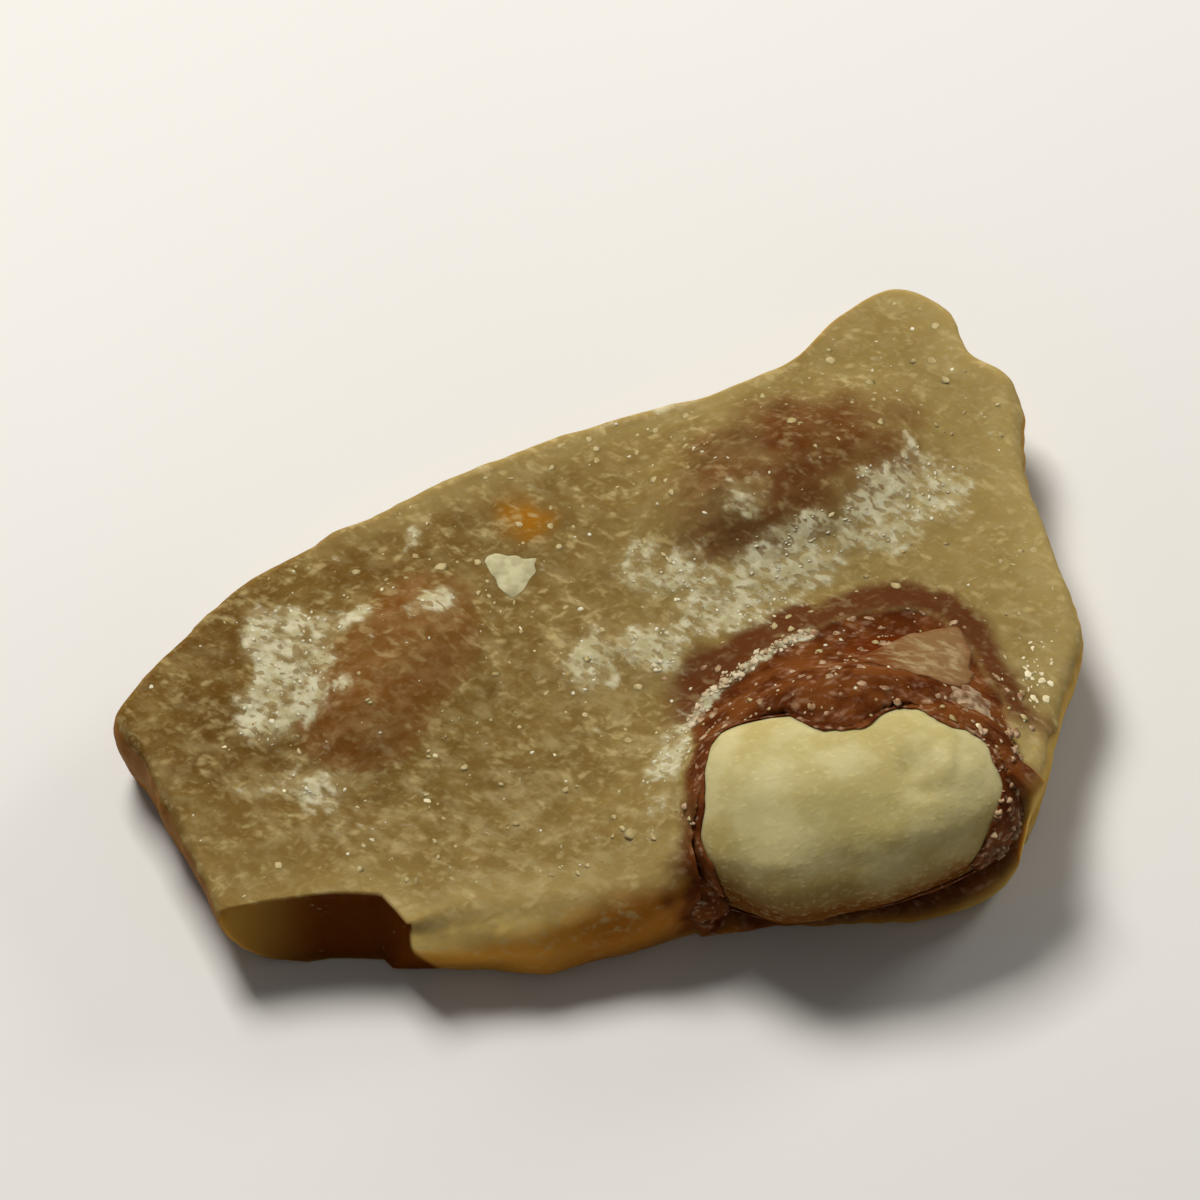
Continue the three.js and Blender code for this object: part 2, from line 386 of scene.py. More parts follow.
# %% Directions round the opening
def looking(lean):
    """Unit directions that lean away from the opening's direction, one column for each angle."""
    return (
        (np.cos(AROUND) * np.sin(lean))[..., None] * np.array([1.0, 0, 0])
        + (np.sin(AROUND) * np.sin(lean))[..., None] * VIEW_UP
        + (np.cos(lean) + 0 * AROUND)[..., None] * VIEW_OUT
    )


def opening_leans(kernel):
    """How far directions lean at the torn edge, for each angle round the opening.

    For each lean in a fan of half degrees, the reach is the kernel's distance along that
    direction times the sine of the lean. The edge is where the reach first passes the outline.
    Where the outline lies past the kernel's limb, the edge goes a little way over the limb."""
    edge = closed_curve(OPENING, 900)
    edge_angle = np.arctan2(edge[:, 1], edge[:, 0]) % (2 * np.pi)
    wanted = np.interp(AROUND, edge_angle, np.hypot(edge[:, 0], edge[:, 1]), period=2 * np.pi)
    ring = 5 * with_height(np.cos(AROUND), np.sin(AROUND))
    wanted = wanted + TEAR * uneven(ring, 0.7, 41) + 0.6 * TEAR * uneven(ring, 0.3, 42)
    leans = np.radians(np.linspace(2, 110, 217))[:, None]
    seen_reach = kernel_ray(kernel, looking(leans)) * np.sin(leans)
    kept_in = np.where(np.sin(AROUND) > -0.3, 0.985, 2)
    wanted = np.minimum(wanted, kept_in * seen_reach.max(axis=0))
    passed = seen_reach >= wanted
    past_limb = np.minimum(seen_reach.argmax(axis=0) + 2 * PAST_LIMB, len(leans) - 1)
    first = np.where(passed.any(axis=0), passed.argmax(axis=0), past_limb)
    before = np.maximum(first - 1, 0)
    columns = np.arange(OPENING_COLUMNS)
    low, high = seen_reach[before, columns], seen_reach[first, columns]
    part = np.clip((wanted - low) / np.maximum(high - low, 1e-6), 0, 1)
    part = np.where(passed.any(axis=0), part, 1)
    return leans[before, 0] + part * (leans[first, 0] - leans[before, 0])


edge_leans = opening_leans(front)
edge_ways = looking(edge_leans)
edge_places = front["middle"] + edge_ways * kernel_ray(front, edge_ways)[:, None]
opening_plan = edge_places[::3, :2]
print("the torn edge spans", np.ptp(edge_places, axis=0).round(2), "mm")

# %% [markdown]
# ## Where things lie on the slab
# Patches of powder, the brown film over a kernel and the torn skin each have a place on the
# slab. A place is told by one of three measures: how far a point is into an ellipse, how far it
# is from a path, and how deep it is inside a closed outline.


# %% Measures of place
# a distance in mm that lies past the end of every mask
FAR = 99


def ellipse_reach(x, y, middle, half, turn):
    """0 in the middle of a flat ellipse and 1 on its rim."""
    along, across = turned(x - middle[0], y - middle[1], turn)
    return np.hypot(along / half[0], across / half[1])


def path_distance(x, y, path):
    """Distance in mm from each point to the nearest stretch of a path."""
    nearest = np.full(np.shape(x), np.inf)
    for (ax, ay), (bx, by) in zip(path[:-1], path[1:]):
        square = (bx - ax) ** 2 + (by - ay) ** 2
        share = np.clip(((x - ax) * (bx - ax) + (y - ay) * (by - ay)) / square, 0, 1)
        away = np.hypot(x - ax - share * (bx - ax), y - ay - share * (by - ay))
        nearest = np.minimum(nearest, away)
    return nearest


def outline_depth(x, y, outline):
    """Distance in mm to a closed outline, positive inside it and negative outside."""
    closed = np.concatenate([outline, outline[:1]])
    inside = np.zeros(np.shape(x), bool)
    for (ax, ay), (bx, by) in zip(closed[:-1], closed[1:]):
        if ay != by:
            inside ^= ((ay > y) != (by > y)) & (x < (bx - ax) * (y - ay) / (by - ay) + ax)
    return np.where(inside, 1, -1) * path_distance(x, y, closed)


middle_depth = outline_depth(*front["middle"][:2], opening_plan)
print("the front kernel's middle is", middle_depth.round(2), "mm inside the opening's plan")

# %% [markdown]
# Powder gathers where the slab dips: in a streak behind the bare kernel and in a patch at the
# left. The other patches are smears and small heaps. Each is an ellipse or a closed outline.

# %% Places of powder, film and skin
POWDER_STREAK = ((-0.2, -3.8), (2.9, -2.6), (7.2, 0.3), (9.7, 1.6), (13.2, 3.6), (15.5, 5.9))
POWDER_LEFT = closed_curve(np.array([
    [-17.0, -0.6], [-14.0, -0.9], [-11.0, -1.6], [-12.4, -2.9], [-13.1, -5.5], [-13.6, -7.3],
    [-17.3, -8.5], [-17.6, -6.5], [-16.8, -4.6], [-17.2, -2.5],
]), 60)
# middle, half sizes, turn, and how thickly the powder lies
POWDER_PATCHES = (
    ((15.3, 6.0), (3.2, 2.1), 20, 1.0),
    ((14.0, 4.2), (2.4, 1.4), 25, 1.0),
    ((10.0, 2.3), (3.4, 1.6), 25, 0.92),
    ((6.6, -0.2), (3.4, 2.0), 20, 0.88),
    ((8.3, -0.7), (2.4, 0.8), 32, 0.8),
    ((3.4, 1.3), (2.1, 1.7), 0, 0.8),
    ((2.6, -3.1), (2.2, 1.6), 20, 0.82),
    ((-0.2, -3.8), (1.6, 1.6), 0, 0.88),
    ((7.2, 5.1), (1.7, 1.4), 0, 0.6),
    ((15.5, 8.4), (0.5, 1.1), 0, 0.85),
    ((-12.3, -5.9), (0.6, 0.9), 0, 0.9),
    ((-7.9, -0.9), (1.6, 1.0), 35, 0.78),
    ((-14.2, -11.4), (3.0, 2.6), 0, 0.47),
    ((3.7, -10.2), (3.4, 1.2), 75, 0.74),
    ((-8.9, 4.1), (0.6, 1.3), -15, 0.75),
    ((-5.5, 8.2), (3.4, 0.5), 22, 0.6),
    ((3.0, 11.6), (4.4, 0.6), 17, 0.6),
)
SKIN_DEEP = ((14.4, -3.7), (2.3, 1.1), 5)
FLECK = ((-3.6, 4.7), (1.5, 1.2), -50)
# buried kernel, seed, how brown the film over it is, and the x where the brown starts
FILMS = (("peanut_left", 4, 0.75, -24), ("peanut_back", 5, 0.9, 2.5))
FILM_PATCH = ((10.8, 9.3), (5.2, 3.6), 18)
SKIN_TIP = ((5.0, -15.4), (1.0, 2.8), 0)
# the crest behind the bare kernel, where the film of candy ends on the skin
RIDGE = ((4.6, -7.9), (5.3, -6.4), (6.6, -5.1), (8.2, -3.9), (9.4, -3.0), (10.4, -2.6))
SKIN_OUTLINE = closed_curve(np.array([
    [4.6, -10.0], [4.7, -7.0], [6.4, -5.3], [8.1, -3.9], [11.0, -1.7], [13.15, -0.9],
    [15.5, -0.7], [17.2, -1.6], [18.6, -4.0], [19.8, -7.0], [20.5, -10.5], [20.6, -13.5],
    [12.0, -17.0], [4.5, -14.0],
]), 90)


def powder_cover(x, y):
    """How much powder lies at a place: near 1 in the streak and the patches, 0 far off.

    Each patch is a cone: highest in its middle, and falling off evenly with the reach."""
    cover = 0.88 - path_distance(x, y, POWDER_STREAK) / 2.6
    cover = np.maximum(cover, 0.68 + outline_depth(x, y, POWDER_LEFT) / 1.6)
    for middle, half, turn, thick in POWDER_PATCHES:
        cover = np.maximum(cover, thick * (1.7 - ellipse_reach(x, y, middle, half, turn)))
    return np.clip(cover, 0, 1)


print("powder in the streak and in the open:", powder_cover(9.7, 1.6), powder_cover(-5.0, -10.0))

# %% [markdown]
# ## The slab of candy
# The slab is one closed grid in polar form. Each column runs from the middle of the upper face
# out to the rim, over the rounded edge, down the side and back under the slab to its middle.
# The front edge is worn round and the left edge has stayed crisp, so every corner of the
# outline has its own rounding. A chip is broken out at the front left: there the columns stop
# at the chip's wall, and their edge is sharp.

# %% Slab sizes
SLAB_THICKNESS = 5.2
WAVE_HEIGHT, WAVE_LENGTH = 0.16, 17
# x, y, how far the underside is set in, and the rounding of the upper edge, counterclockwise
SLAB_OUTLINE = np.array([
    [23.8, -2.1, 0.5, 0.9], [22.8, 3.3, 0.5, 0.9], [21.4, 8.1, 0.5, 0.9],
    [20.9, 13.3, 0.6, 0.8], [18.9, 15.3, 0.6, 0.8], [17.8, 18.0, 0.7, 0.8],
    [15.2, 19.5, 0.7, 0.8], [12.4, 17.9, 0.7, 0.8], [10.0, 15.1, 0.6, 0.8],
    [6.4, 13.2, 0.6, 0.8], [-0.6, 10.8, 0.6, 0.8], [-7.4, 7.7, 0.6, 0.8],
    [-14.2, 3.6, 0.6, 0.9], [-18.9, 0.0, 0.7, 0.9], [-22.0, -3.8, 0.8, 0.8],
    [-23.7, -6.9, 0.8, 0.7], [-22.4, -9.3, 0.8, 0.5], [-20.2, -13.7, 0.9, 0.5],
    [-18.7, -17.3, 1.6, 0.5], [-17.6, -18.9, 1.8, 0.6], [-14.0, -19.4, 1.2, 1.0],
    [-8.7, -19.5, 0.9, 1.8], [-4.0, -19.5, 0.9, 2.2], [0.4, -18.8, 0.9, 2.2],
    [5.0, -17.3, 0.8, 1.8], [9.0, -16.3, 0.8, 1.0], [14.5, -16.1, 0.8, 1.0],
    [19.2, -15.1, 0.8, 1.2], [21.6, -11.9, 0.7, 1.2], [22.5, -7.3, 0.5, 1.0],
])
# the chip's wall half way down the slab, how many degrees it leans out, and its edge's rounding
CHIP_WALL = np.array([
    [-19.6, -18.8], [-15.6, -18.0], [-13.0, -17.7], [-10.4, -17.8], [-9.7, -18.6], [-8.5, -20.2],
])
CHIP_LEAN = 5
CHIP_ROUND = 0.2
# a mound over each kernel: middle, half sizes, turn and rise
MOUNDS = (
    ((13.0, -9.2), (10.6, 10.2), 8, 2.6),
    ((-9.8, -4.4), (9.6, 7.0), 60, 0.85),
    ((9.0, 6.9), (11.0, 7.4), 20, 1.35),
)
COLLAR_RISE, COLLAR_WIDTH = 1.2, 0.3
POCKET_GAP = 0.32

box_low, box_high = (np.array(corner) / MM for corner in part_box("candy"))
outline_low, outline_high = SLAB_OUTLINE[:, :2].min(axis=0), SLAB_OUTLINE[:, :2].max(axis=0)
slab_fit = (box_high - box_low)[:2] / (outline_high - outline_low)
print("the outline is stretched by", slab_fit.round(3), "to fill the candy's box")


# %% [markdown]
# The upper face is a height over each plan place. A sculpted face would look as good, but the
# grains and chips that lie on the slab need to know its height, and a formula can be asked.


# %% Height of the upper face
def slab_height(x, y):
    """The smooth upper face: gentle waves, a mound over each kernel and the collar.

    A mound is half a cosine wave over its ellipse. The collar is where candy wells up against
    the front kernel, and it falls off as a bell curve of the distance from the kernel."""
    wave = np.sin(2 * np.pi * x / WAVE_LENGTH) * np.cos(2 * np.pi * y / WAVE_LENGTH)
    height = SLAB_THICKNESS + WAVE_HEIGHT * wave
    for middle, half, turn, rise in MOUNDS:
        reach = np.minimum(1, ellipse_reach(x, y, middle, half, turn))
        height = height + rise * (1 + np.cos(np.pi * reach)) / 2
    reach = ellipse_reach(x, y, front["middle"], front["half"], front["turn"])
    beyond = np.maximum(0, reach - 1)
    return height + COLLAR_RISE * np.exp(-((beyond / COLLAR_WIDTH) ** 2))


def smooth_max(first, second, width):
    """The larger of two heights, with their meeting rounded over about width mm."""
    return (first + second + np.sqrt((first - second) ** 2 + width**2)) / 2


print("the slab's height at its middle, mm:", float(slab_height(0.0, 0.0)))

# %% [markdown]
# The fine face and its masks come from the same function. A mask says from 0 to 1 how much of a
# finish a place has. The film over a buried kernel is clear where the candy over it is thin, so
# the brown patch takes the kernel's own shape and not that of a painted blot.


# %% Film over the buried kernels
def under_film(x, y, height):
    """The face raised over the buried kernels, and a mask of how clearly they show through."""
    places = with_height(x, y)
    film = np.zeros(np.shape(x))
    for node, seed, strength, start in FILMS:
        crown = kernel_heights(KERNELS[node], x, y)[1]
        over = kernel_heights(KERNELS[node], x, y, 1.2)[2]
        cover = 0.10 + 0.09 * uneven(places, 1.6, seed)
        height = np.where(over, smooth_max(height, crown + cover, 0.5), height)
        depth = np.where(over, height - crown, FAR)
        clear = 1 - smooth_step(0.1, 1.9, depth + 0.55 * uneven(places, 1.9, seed + 10))
        film = np.maximum(film, strength * clear * smooth_step(start, start + 3.5, x))
    edge = ellipse_reach(x, y, *FILM_PATCH) + 0.3 * uneven(places, 1.7, 20)
    return height, np.maximum(film, 1 - smooth_step(0.5, 1.25, edge))


# %% Skin on the face
def under_skin(x, y, height):
    """The face with the lip where the candy ends on the skin, and masks of skin and dark band."""
    places = with_height(x, y)
    depth = outline_depth(x, y, SKIN_OUTLINE)
    depth = depth + 0.22 * uneven(places, 1.4, 6) + 0.1 * uneven(places, 0.5, 7)
    lip = 0.12 * smooth_step(-2.2, -0.2, depth) * (1 - smooth_step(-0.15, 0.35, depth))
    height = height + lip - 0.05 * smooth_step(-0.2, 0.5, depth)
    tip = ellipse_reach(x, y, *SKIN_TIP) + 0.3 * uneven(places, 0.8, 26)
    skin = np.maximum(smooth_step(-0.2, 0.3, depth), 0.9 * (1 - smooth_step(0.5, 1.3, tip)))
    wider = 0.8 * (1 - smooth_step(7, 11, x))
    band = smooth_step(-2.1, -1.0, depth + wider + 0.5 * uneven(places, 1.0, 18)) * (1 - skin)
    return height, skin, band * smooth_step(2.6, 4.6, x) * smooth_step(-9.5, -7.0, y)


# %% Powder on the face
def under_powder(x, y, height, skin):
    """The face raised by grit and by powder, and the mask of powder, which leaves skin bare."""
    places = with_height(x, y)
    grit = 0.02 * uneven(places, 0.55, 3)
    clumps = 0.5 * uneven(places, 1.5, 8) + 0.5 * uneven(places, 0.7, 9)
    powder = smooth_step(0.1, 1.1, 0.95 * powder_cover(x, y) + 0.45 * clumps)
    off_crest = path_distance(x, y, RIDGE) + 0.22 * clumps
    powder = np.maximum(powder * (1 - skin), 0.9 * (1 - smooth_step(0.05, 0.5, off_crest)))
    return height + grit + 0.07 * powder * (1 + 0.5 * clumps), powder


# %% Pocket of the bare kernel
def with_pocket(x, y, height):
    """The face with the hollow in which the front kernel sits, and which places lie in it.

    Up to the torn edge the candy climbs the kernel's skin. Inside it lies the pocket's floor."""
    places = with_height(x, y)
    floor, _, inside = kernel_heights(front, x, y, POCKET_GAP)
    crown = kernel_heights(front, x, y, 0.1)[1]
    to_tear = outline_depth(x, y, opening_plan)
    cover = 0.22 * smooth_step(-0.3, -1.4, to_tear) + 0.03 * uneven(places, 0.8, 17)
    height = np.where(inside, smooth_max(height, crown + cover, 0.12), height)
    pocket = inside & (to_tear > -0.22 + 0.1 * uneven(places, 0.6, 16))
    return np.where(pocket, np.maximum(0.5, floor), height), pocket


# %% The fine face
def candy_top(x, y):
    """The fine upper face, the masks of what covers it, and which places lie in the pocket."""
    places = with_height(x, y)
    swells = 0.11 * uneven(places, 3.1, 1) + 0.05 * uneven(places, 1.3, 2)
    height, film = under_film(x, y, slab_height(x, y) + swells)
    height, skin, band = under_skin(x, y, height)
    height, powder = under_powder(x, y, height, skin)
    height, pocket = with_pocket(x, y, height)
    deep = 1 - smooth_step(0.6, 1.3, ellipse_reach(x, y, *SKIN_DEEP))
    fleck = ellipse_reach(x, y, *FLECK) + 0.3 * uneven(places, 0.8, 19)
    fleck = 1 - smooth_step(0.1, 1.6, fleck)
    masks = dict(powder=powder, film=film, skin=skin, band=band, deep=deep, fleck=fleck)
    return height, masks, pocket


streak_height, streak_masks, _ = candy_top(np.array([9.7]), np.array([1.6]))
print("in the streak:", streak_height.round(2), "mm high, powder", streak_masks["powder"].round(2))


# %% [markdown]
# The slab is broken all round, so its side is a wall with shallow hollows, as glass breaks. The
# chip is worked out the same way: at each angle round the slab, the wall of the chip says how
# far out the slab goes.

# %% The chip's wall
CANDY_COLUMNS = 640
TOP_ROWS, EDGE_ROWS, SIDE_ROWS, BASE_ROWS = 96, 12, 16, 16


def wall_reach(angle, z):
    """How far out the chip's wall is at each angle and height. It leans out at its foot."""
    share = np.linspace(0, len(CHIP_WALL) - 1, 200)
    corners = np.arange(len(CHIP_WALL))
    reach = []
    for level in (0, SLAB_THICKNESS):
        x = np.interp(share, corners, CHIP_WALL[:, 0])
        y = np.interp(share, corners, CHIP_WALL[:, 1])
        y = y + (level - SLAB_THICKNESS / 2) * math.tan(math.radians(CHIP_LEAN))
        reach.append(np.interp(angle, np.arctan2(y, x), np.hypot(x, y), left=FAR, right=FAR))
    return reach[0] + (reach[1] - reach[0]) * np.clip(z / SLAB_THICKNESS, 0, 1)


wall_foot = wall_reach(math.atan2(-17.7, -13.0), 0)
print("the chip's wall is", wall_foot.round(2), "mm out at its foot")


# %% The outline as spokes
def slab_spokes():
    """The slab's outline in polar form: for each spoke its angle, its reach and its edge.

    The reach is how far out the side is, set_in how much less that is at the foot, rim where
    the upper face ends, and rounding how far the rounded edge goes on from there."""
    outline = SLAB_OUTLINE.copy()
    outline[:, :2] = (outline[:, :2] - outline_low) * slab_fit + box_low[:2]
    ring = closed_curve(outline, CANDY_COLUMNS)
    x, y, set_in, rounding = ring.T
    angle = np.arctan2(y, x)
    reach = np.hypot(x, y) + 0.16 * uneven(on_plan(ring), 1.9, 21) - 0.1
    crisp = (1 - smooth_step(-9.4, -7.2, x)) * (y < -10)
    rounding = rounding + crisp * (np.minimum(rounding, 0.45) - rounding)
    chip_reach = wall_reach(angle, SLAB_THICKNESS)
    chipped = chip_reach < reach
    rim = np.where(chipped, chip_reach - CHIP_ROUND, reach - rounding)
    rim = np.minimum(rim, reach - np.minimum(rounding, 0.4))
    return dict(
        angle=angle, reach=reach, set_in=set_in, rim=rim, chipped=chipped,
        rounding=np.where(chipped, CHIP_ROUND, reach - rim),
        nicks=0.09 * uneven(on_plan(ring), 0.6, 22),
    )


spokes = slab_spokes()
print("the chip takes up", int(spokes["chipped"].sum()), "of", CANDY_COLUMNS, "spokes")

# %% [markdown]
# From the rim each spoke turns down over a quarter of an ellipse and runs down the side. The
# side is set in by the square of the way down, as a poured edge is. Hollows and nicks then move
# it in and out along the spoke.


# %% Edge and side
def slab_wall(rim_z):
    """How far out and how high the rows of the edge and the side are, without their hollows."""
    shoulder = np.maximum(0.5 * rim_z, rim_z - 1.1 * spokes["rounding"])
    quarter = np.pi / 2 * np.arange(1, EDGE_ROWS + 1)[:, None] / EDGE_ROWS
    edge_reach = spokes["rim"] + spokes["rounding"] * np.sin(quarter)
    edge_z = shoulder + (rim_z - shoulder) * np.cos(quarter)
    down = np.arange(1, SIDE_ROWS + 1)[:, None] / SIDE_ROWS
    side_z = shoulder * (1 - down)
    side_reach = spokes["reach"] - spokes["set_in"] * down**2
    chip_reach = np.minimum(wall_reach(spokes["angle"], side_z), side_reach)
    side_reach = np.where(spokes["chipped"], chip_reach, side_reach)
    side_reach = side_reach - 0.18 * smooth_step(0.35, 0, side_z)
    return np.concatenate([edge_reach, side_reach]), np.concatenate([edge_z, side_z])


def hollows(places, below):
    """How far hollows and nicks move the wall, from its places and how far below the rim."""
    depth = 0.26 * uneven(places, 3.2, 23) + 0.09 * uneven(places, 1.2, 25)
    depth = depth + 0.03 * uneven(places, 0.45, 24)
    fade = smooth_step(0, 0.8, below)
    near_rim = smooth_step(2.2, 0.8, below)
    return depth * fade * np.where(spokes["chipped"], 0.5, 1) + spokes["nicks"] * fade * near_rim


def wall_masks(places, plain, below):
    """Masks of the wall, from its places, the same without hollows, and how far below the rim.

    side is the clean broken face, which starts lower where the front edge is worn. tip is the
    skin at the bare kernel's foot, chip the broken corner and under the lowest edge."""
    x, y, z = places[..., 0], places[..., 1], places[..., 2]
    worn = smooth_step(-10, -8.5, x) * (1 - smooth_step(1.5, 4.5, x)) * (y < -12)
    tip_reach = np.abs(x - 5.3) + 0.7 * uneven(plain, 0.9, 27)
    beyond = smooth_step(-0.2, 0.35, -9.7 + 0.45 * below - x) * (y < -15) * (x > -12)
    return dict(
        side=smooth_step(0.5 * worn, 0.8 + 2.2 * worn, below),
        tip=(1 - smooth_step(0.9, 2.3, tip_reach)) * (y < -10) * smooth_step(0.3, 1.6, z),
        chip=smooth_step(0.02, 0.2, below) * np.maximum(spokes["chipped"], beyond),
        under=smooth_step(0.4, 0, z),
    )


foot = slab_wall(np.full(CANDY_COLUMNS, SLAB_THICKNESS))[0][-1]
print("at its foot the slab reaches", foot.min().round(1), "to", foot.max().round(1), "mm out")

# %% [markdown]
# Now the rows are stacked: the upper face, the edge and side, and the underside. On the upper
# face they are spaced by a power of the way out, closer together towards the rim, where the
# bare kernel's pocket and its skin lie. Each mask is stacked in the same three parts.


# %% The slab's rows
def candy_rows():
    """The slab's places as rows from the upper middle to the lower middle, and its masks."""
    ux, uy = np.cos(spokes["angle"]), np.sin(spokes["angle"])
    share = (np.arange(TOP_ROWS + 1)[:, None] / TOP_ROWS) ** 0.8
    top_x, top_y = ux * spokes["rim"] * share, uy * spokes["rim"] * share
    top_z, masks, _ = candy_top(top_x, top_y)
    reach, wall_z = slab_wall(top_z[-1])
    base_reach = reach[-1] * (1 - np.arange(1, BASE_ROWS + 1)[:, None] / BASE_ROWS)
    below = top_z[-1] - wall_z
    plain = with_height(ux * reach, uy * reach, wall_z)
    reach = reach + hollows(plain, below)
    places = with_height(ux * reach, uy * reach, wall_z)

    def stacked(top, wall, base):
        """One array from a value for each of the three parts, spread over all their rows."""
        return np.concatenate([top + 0 * top_z, wall + 0 * wall_z, base + 0 * base_reach])

    x = stacked(top_x, places[..., 0], ux * base_reach)
    y = stacked(top_y, places[..., 1], uy * base_reach)
    wall = wall_masks(places, plain, below)
    edge_fade = 1 - smooth_step(0.1, 1.6, below)
    masks = {name: stacked(mask, mask[-1] * edge_fade, 0) for name, mask in masks.items()}
    masks["skin"] = np.maximum(masks["skin"], stacked(0, wall["tip"], 0))
    masks["side"] = stacked(0, wall["side"], 1)
    masks["chip"] = stacked(0, wall["chip"], 0)
    masks["under"] = stacked(0, wall["under"], 1)
    # the rim mask is for painted light at the thin edge, faded out at the left end, where the edge is
    # in shade
    from_rim = stacked((spokes["rim"] + spokes["rounding"]) * (1 - share), 0, FAR)
    masks["rim"] = (1 - smooth_step(0.3, 2.2, from_rim)) * smooth_step(-17, -9, x)
    return with_height(x, y, stacked(top_z, wall_z, 0)), masks


# %% The slab's mesh
def make_candy():
    """The slab as one closed mesh, with its masks kept as attributes."""
    rows, masks = candy_rows()
    piece = new_piece("candy_slab", *closed_grid(rows))
    for name, mask in masks.items():
        store(piece, name, np.concatenate([mask[0, :1], mask[1:-1].ravel(), mask[-1, :1]]))
    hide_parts("candy")
    return piece


candy = make_candy()

# %% [markdown]
# ## The kernels' meshes
# The bare kernel is the piece that the eye goes to first. Its flesh is smooth but not even:
# it has broad soft dents, a fine waxy grain, and a small crater with a raised lip near its
# right end. The two kernels in the slab keep their skins.

# %% Relief of the bare kernel
# lumps and dents of the bare kernel: across and up as in the opening, half sizes, height
KERNEL_LUMPS = (
    ((-7.2, -5.2), (3.2, 3.2), -1.1),
    ((-1.0, -5.6), (4.0, 1.6), -0.4),
    ((-3.0, -4.4), (2.2, 1.2), 0.3),
    ((7.2, -4.6), (4.2, 3.8), -1.5),
    ((-4.9, 3.9), (1.8, 1.3), 0.18),
    ((3.0, 2.3), (0.8, 0.9), -0.42),
    ((3.6, 1.2), (1.0, 0.5), -0.22),
    ((4.45, 2.6), (0.5, 1.0), 0.3),
    ((5.7, 2.2), (0.7, 0.8), 0.16),
    ((-5.8, 2.4), (1.3, 1.3), 0.26),
    ((-0.6, 1.8), (2.2, 1.4), 0.16),
    ((-4.0, -0.4), (1.9, 1.0), -0.22),
    ((-4.0, -2.5), (1.8, 0.6), 0.16),
    ((2.4, -0.8), (2.2, 0.9), 0.16),
    ((0.2, -2.6), (1.6, 0.9), -0.12),
)


def kernel_relief(local):
    """How far the front kernel's lumps and dents stand out, in mm, at places from its middle.

    Each lump is a bell curve seen square to the opening, and it only acts on the near side.
    The skin follows the same relief, so that it lies close on the kernel."""
    across, up = local[..., 0], local @ VIEW_UP
    near_side = smooth_step(-1.5, 1.0, local @ VIEW_OUT)
    lumps = sum(
        height * np.exp(-(((across - place[0]) / half[0]) ** 2) - ((up - place[1]) / half[1]) ** 2)
        for place, half, height in KERNEL_LUMPS
    )
    return near_side * lumps + 0.12 * uneven(local, 3.4, 31)


print("the bare kernel has", len(KERNEL_LUMPS), "lumps and dents")


# %% Bare kernel
def bare_kernel():
    """The front kernel: its formula, moved in and out along the line from its middle."""
    rows = kernel_shape(front, columns=330, rows=230)
    local = rows - front["middle"]
    outward = local / np.linalg.norm(local, axis=-1, keepdims=True)
    fine = 0.05 * uneven(rows, 1.3, 32) + 0.015 * uneven(rows, 0.5, 33)
    rows = rows + outward * (kernel_relief(local) + fine - 0.03)[..., None]
    piece = new_piece("kernel_bare", *closed_grid(rows))
    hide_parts("peanut_front")
    return piece


kernel_bare = bare_kernel()

# %% [markdown]
# The skin of a roasted kernel is wrinkled along its length. The noise is read at places that
# have been squeezed along the kernel, so its bumps come out long.


# %% Buried kernels
def buried_kernel(node, name, seed):
    """A kernel in its skin: the formula's surface, moved in and out by long wrinkles."""
    kernel = KERNELS[node]
    rows = kernel_shape(kernel, columns=150, rows=110)
    local = rows - kernel["middle"]
    outward = local / np.linalg.norm(local, axis=-1, keepdims=True)
    turn = math.radians(kernel["turn"])
    axis = np.array([math.cos(turn), math.sin(turn), 0])
    along = local @ axis
    drawn = local - 0.75 * along[..., None] * axis
    relief = 0.05 * uneven(drawn, 0.5, seed) + 0.05 * uneven(local, 1.5, seed + 1) - 0.03
    rows = rows + outward * relief[..., None]
    piece = new_piece(name, *closed_grid(rows))
    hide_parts(node)
    return piece


kernel_left = buried_kernel("peanut_left", "kernel_left", 34)
kernel_back = buried_kernel("peanut_back", "kernel_back", 36)

# %% [markdown]
# ## The torn skin
# The skin is a papery shell round the front kernel. It was rubbed off where the kernel looks
# out, and its torn edge is scalloped. The shell is worked out in directions from the kernel's
# middle: one angle goes round the opening, the other runs from the torn edge to the far side.

# %% Torn skin
SKIN_THICKNESS = 0.2
SKIN_HALF_ROWS = 56


def torn_skin():
    """A closed shell: outside from the far pole to the torn edge, inside back to the far pole.

    Each place is the kernel's middle plus a direction times the kernel's reach, its relief and
    the skin's thickness, which thins towards the torn edge with the fourth power of the way."""
    share = np.linspace(0, 1, SKIN_HALF_ROWS)[:, None]
    way = looking(np.pi + (edge_leans - np.pi) * share**0.7)
    base = kernel_ray(front, way)
    base = base + kernel_relief(way * base[..., None])
    spot = way * base[..., None]
    wrinkle = 0.08 * uneven(spot, 0.9, 43) + 0.05 * uneven(spot, 0.4, 44)
    thin = 1 - 0.85 * share**4
    outer = base + 0.05 + (SKIN_THICKNESS + wrinkle) * thin
    outside = front["middle"] + way * outer[..., None]
    inside = front["middle"] + way * (base + 0.02 + 0 * share)[..., None]
    rows = np.concatenate([outside, inside[::-1]])[:, ::-1]
    piece = new_piece("skin_torn", *closed_grid(rows))
    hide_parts("skin_front")
    return piece, outside


skin_torn, skin_outside = torn_skin()

# %% [markdown]
# At the left foot of the bare kernel some skin has been pushed up into a rough roll. It is a
# profile carried along a path: a circle whose radius changes from place to place.

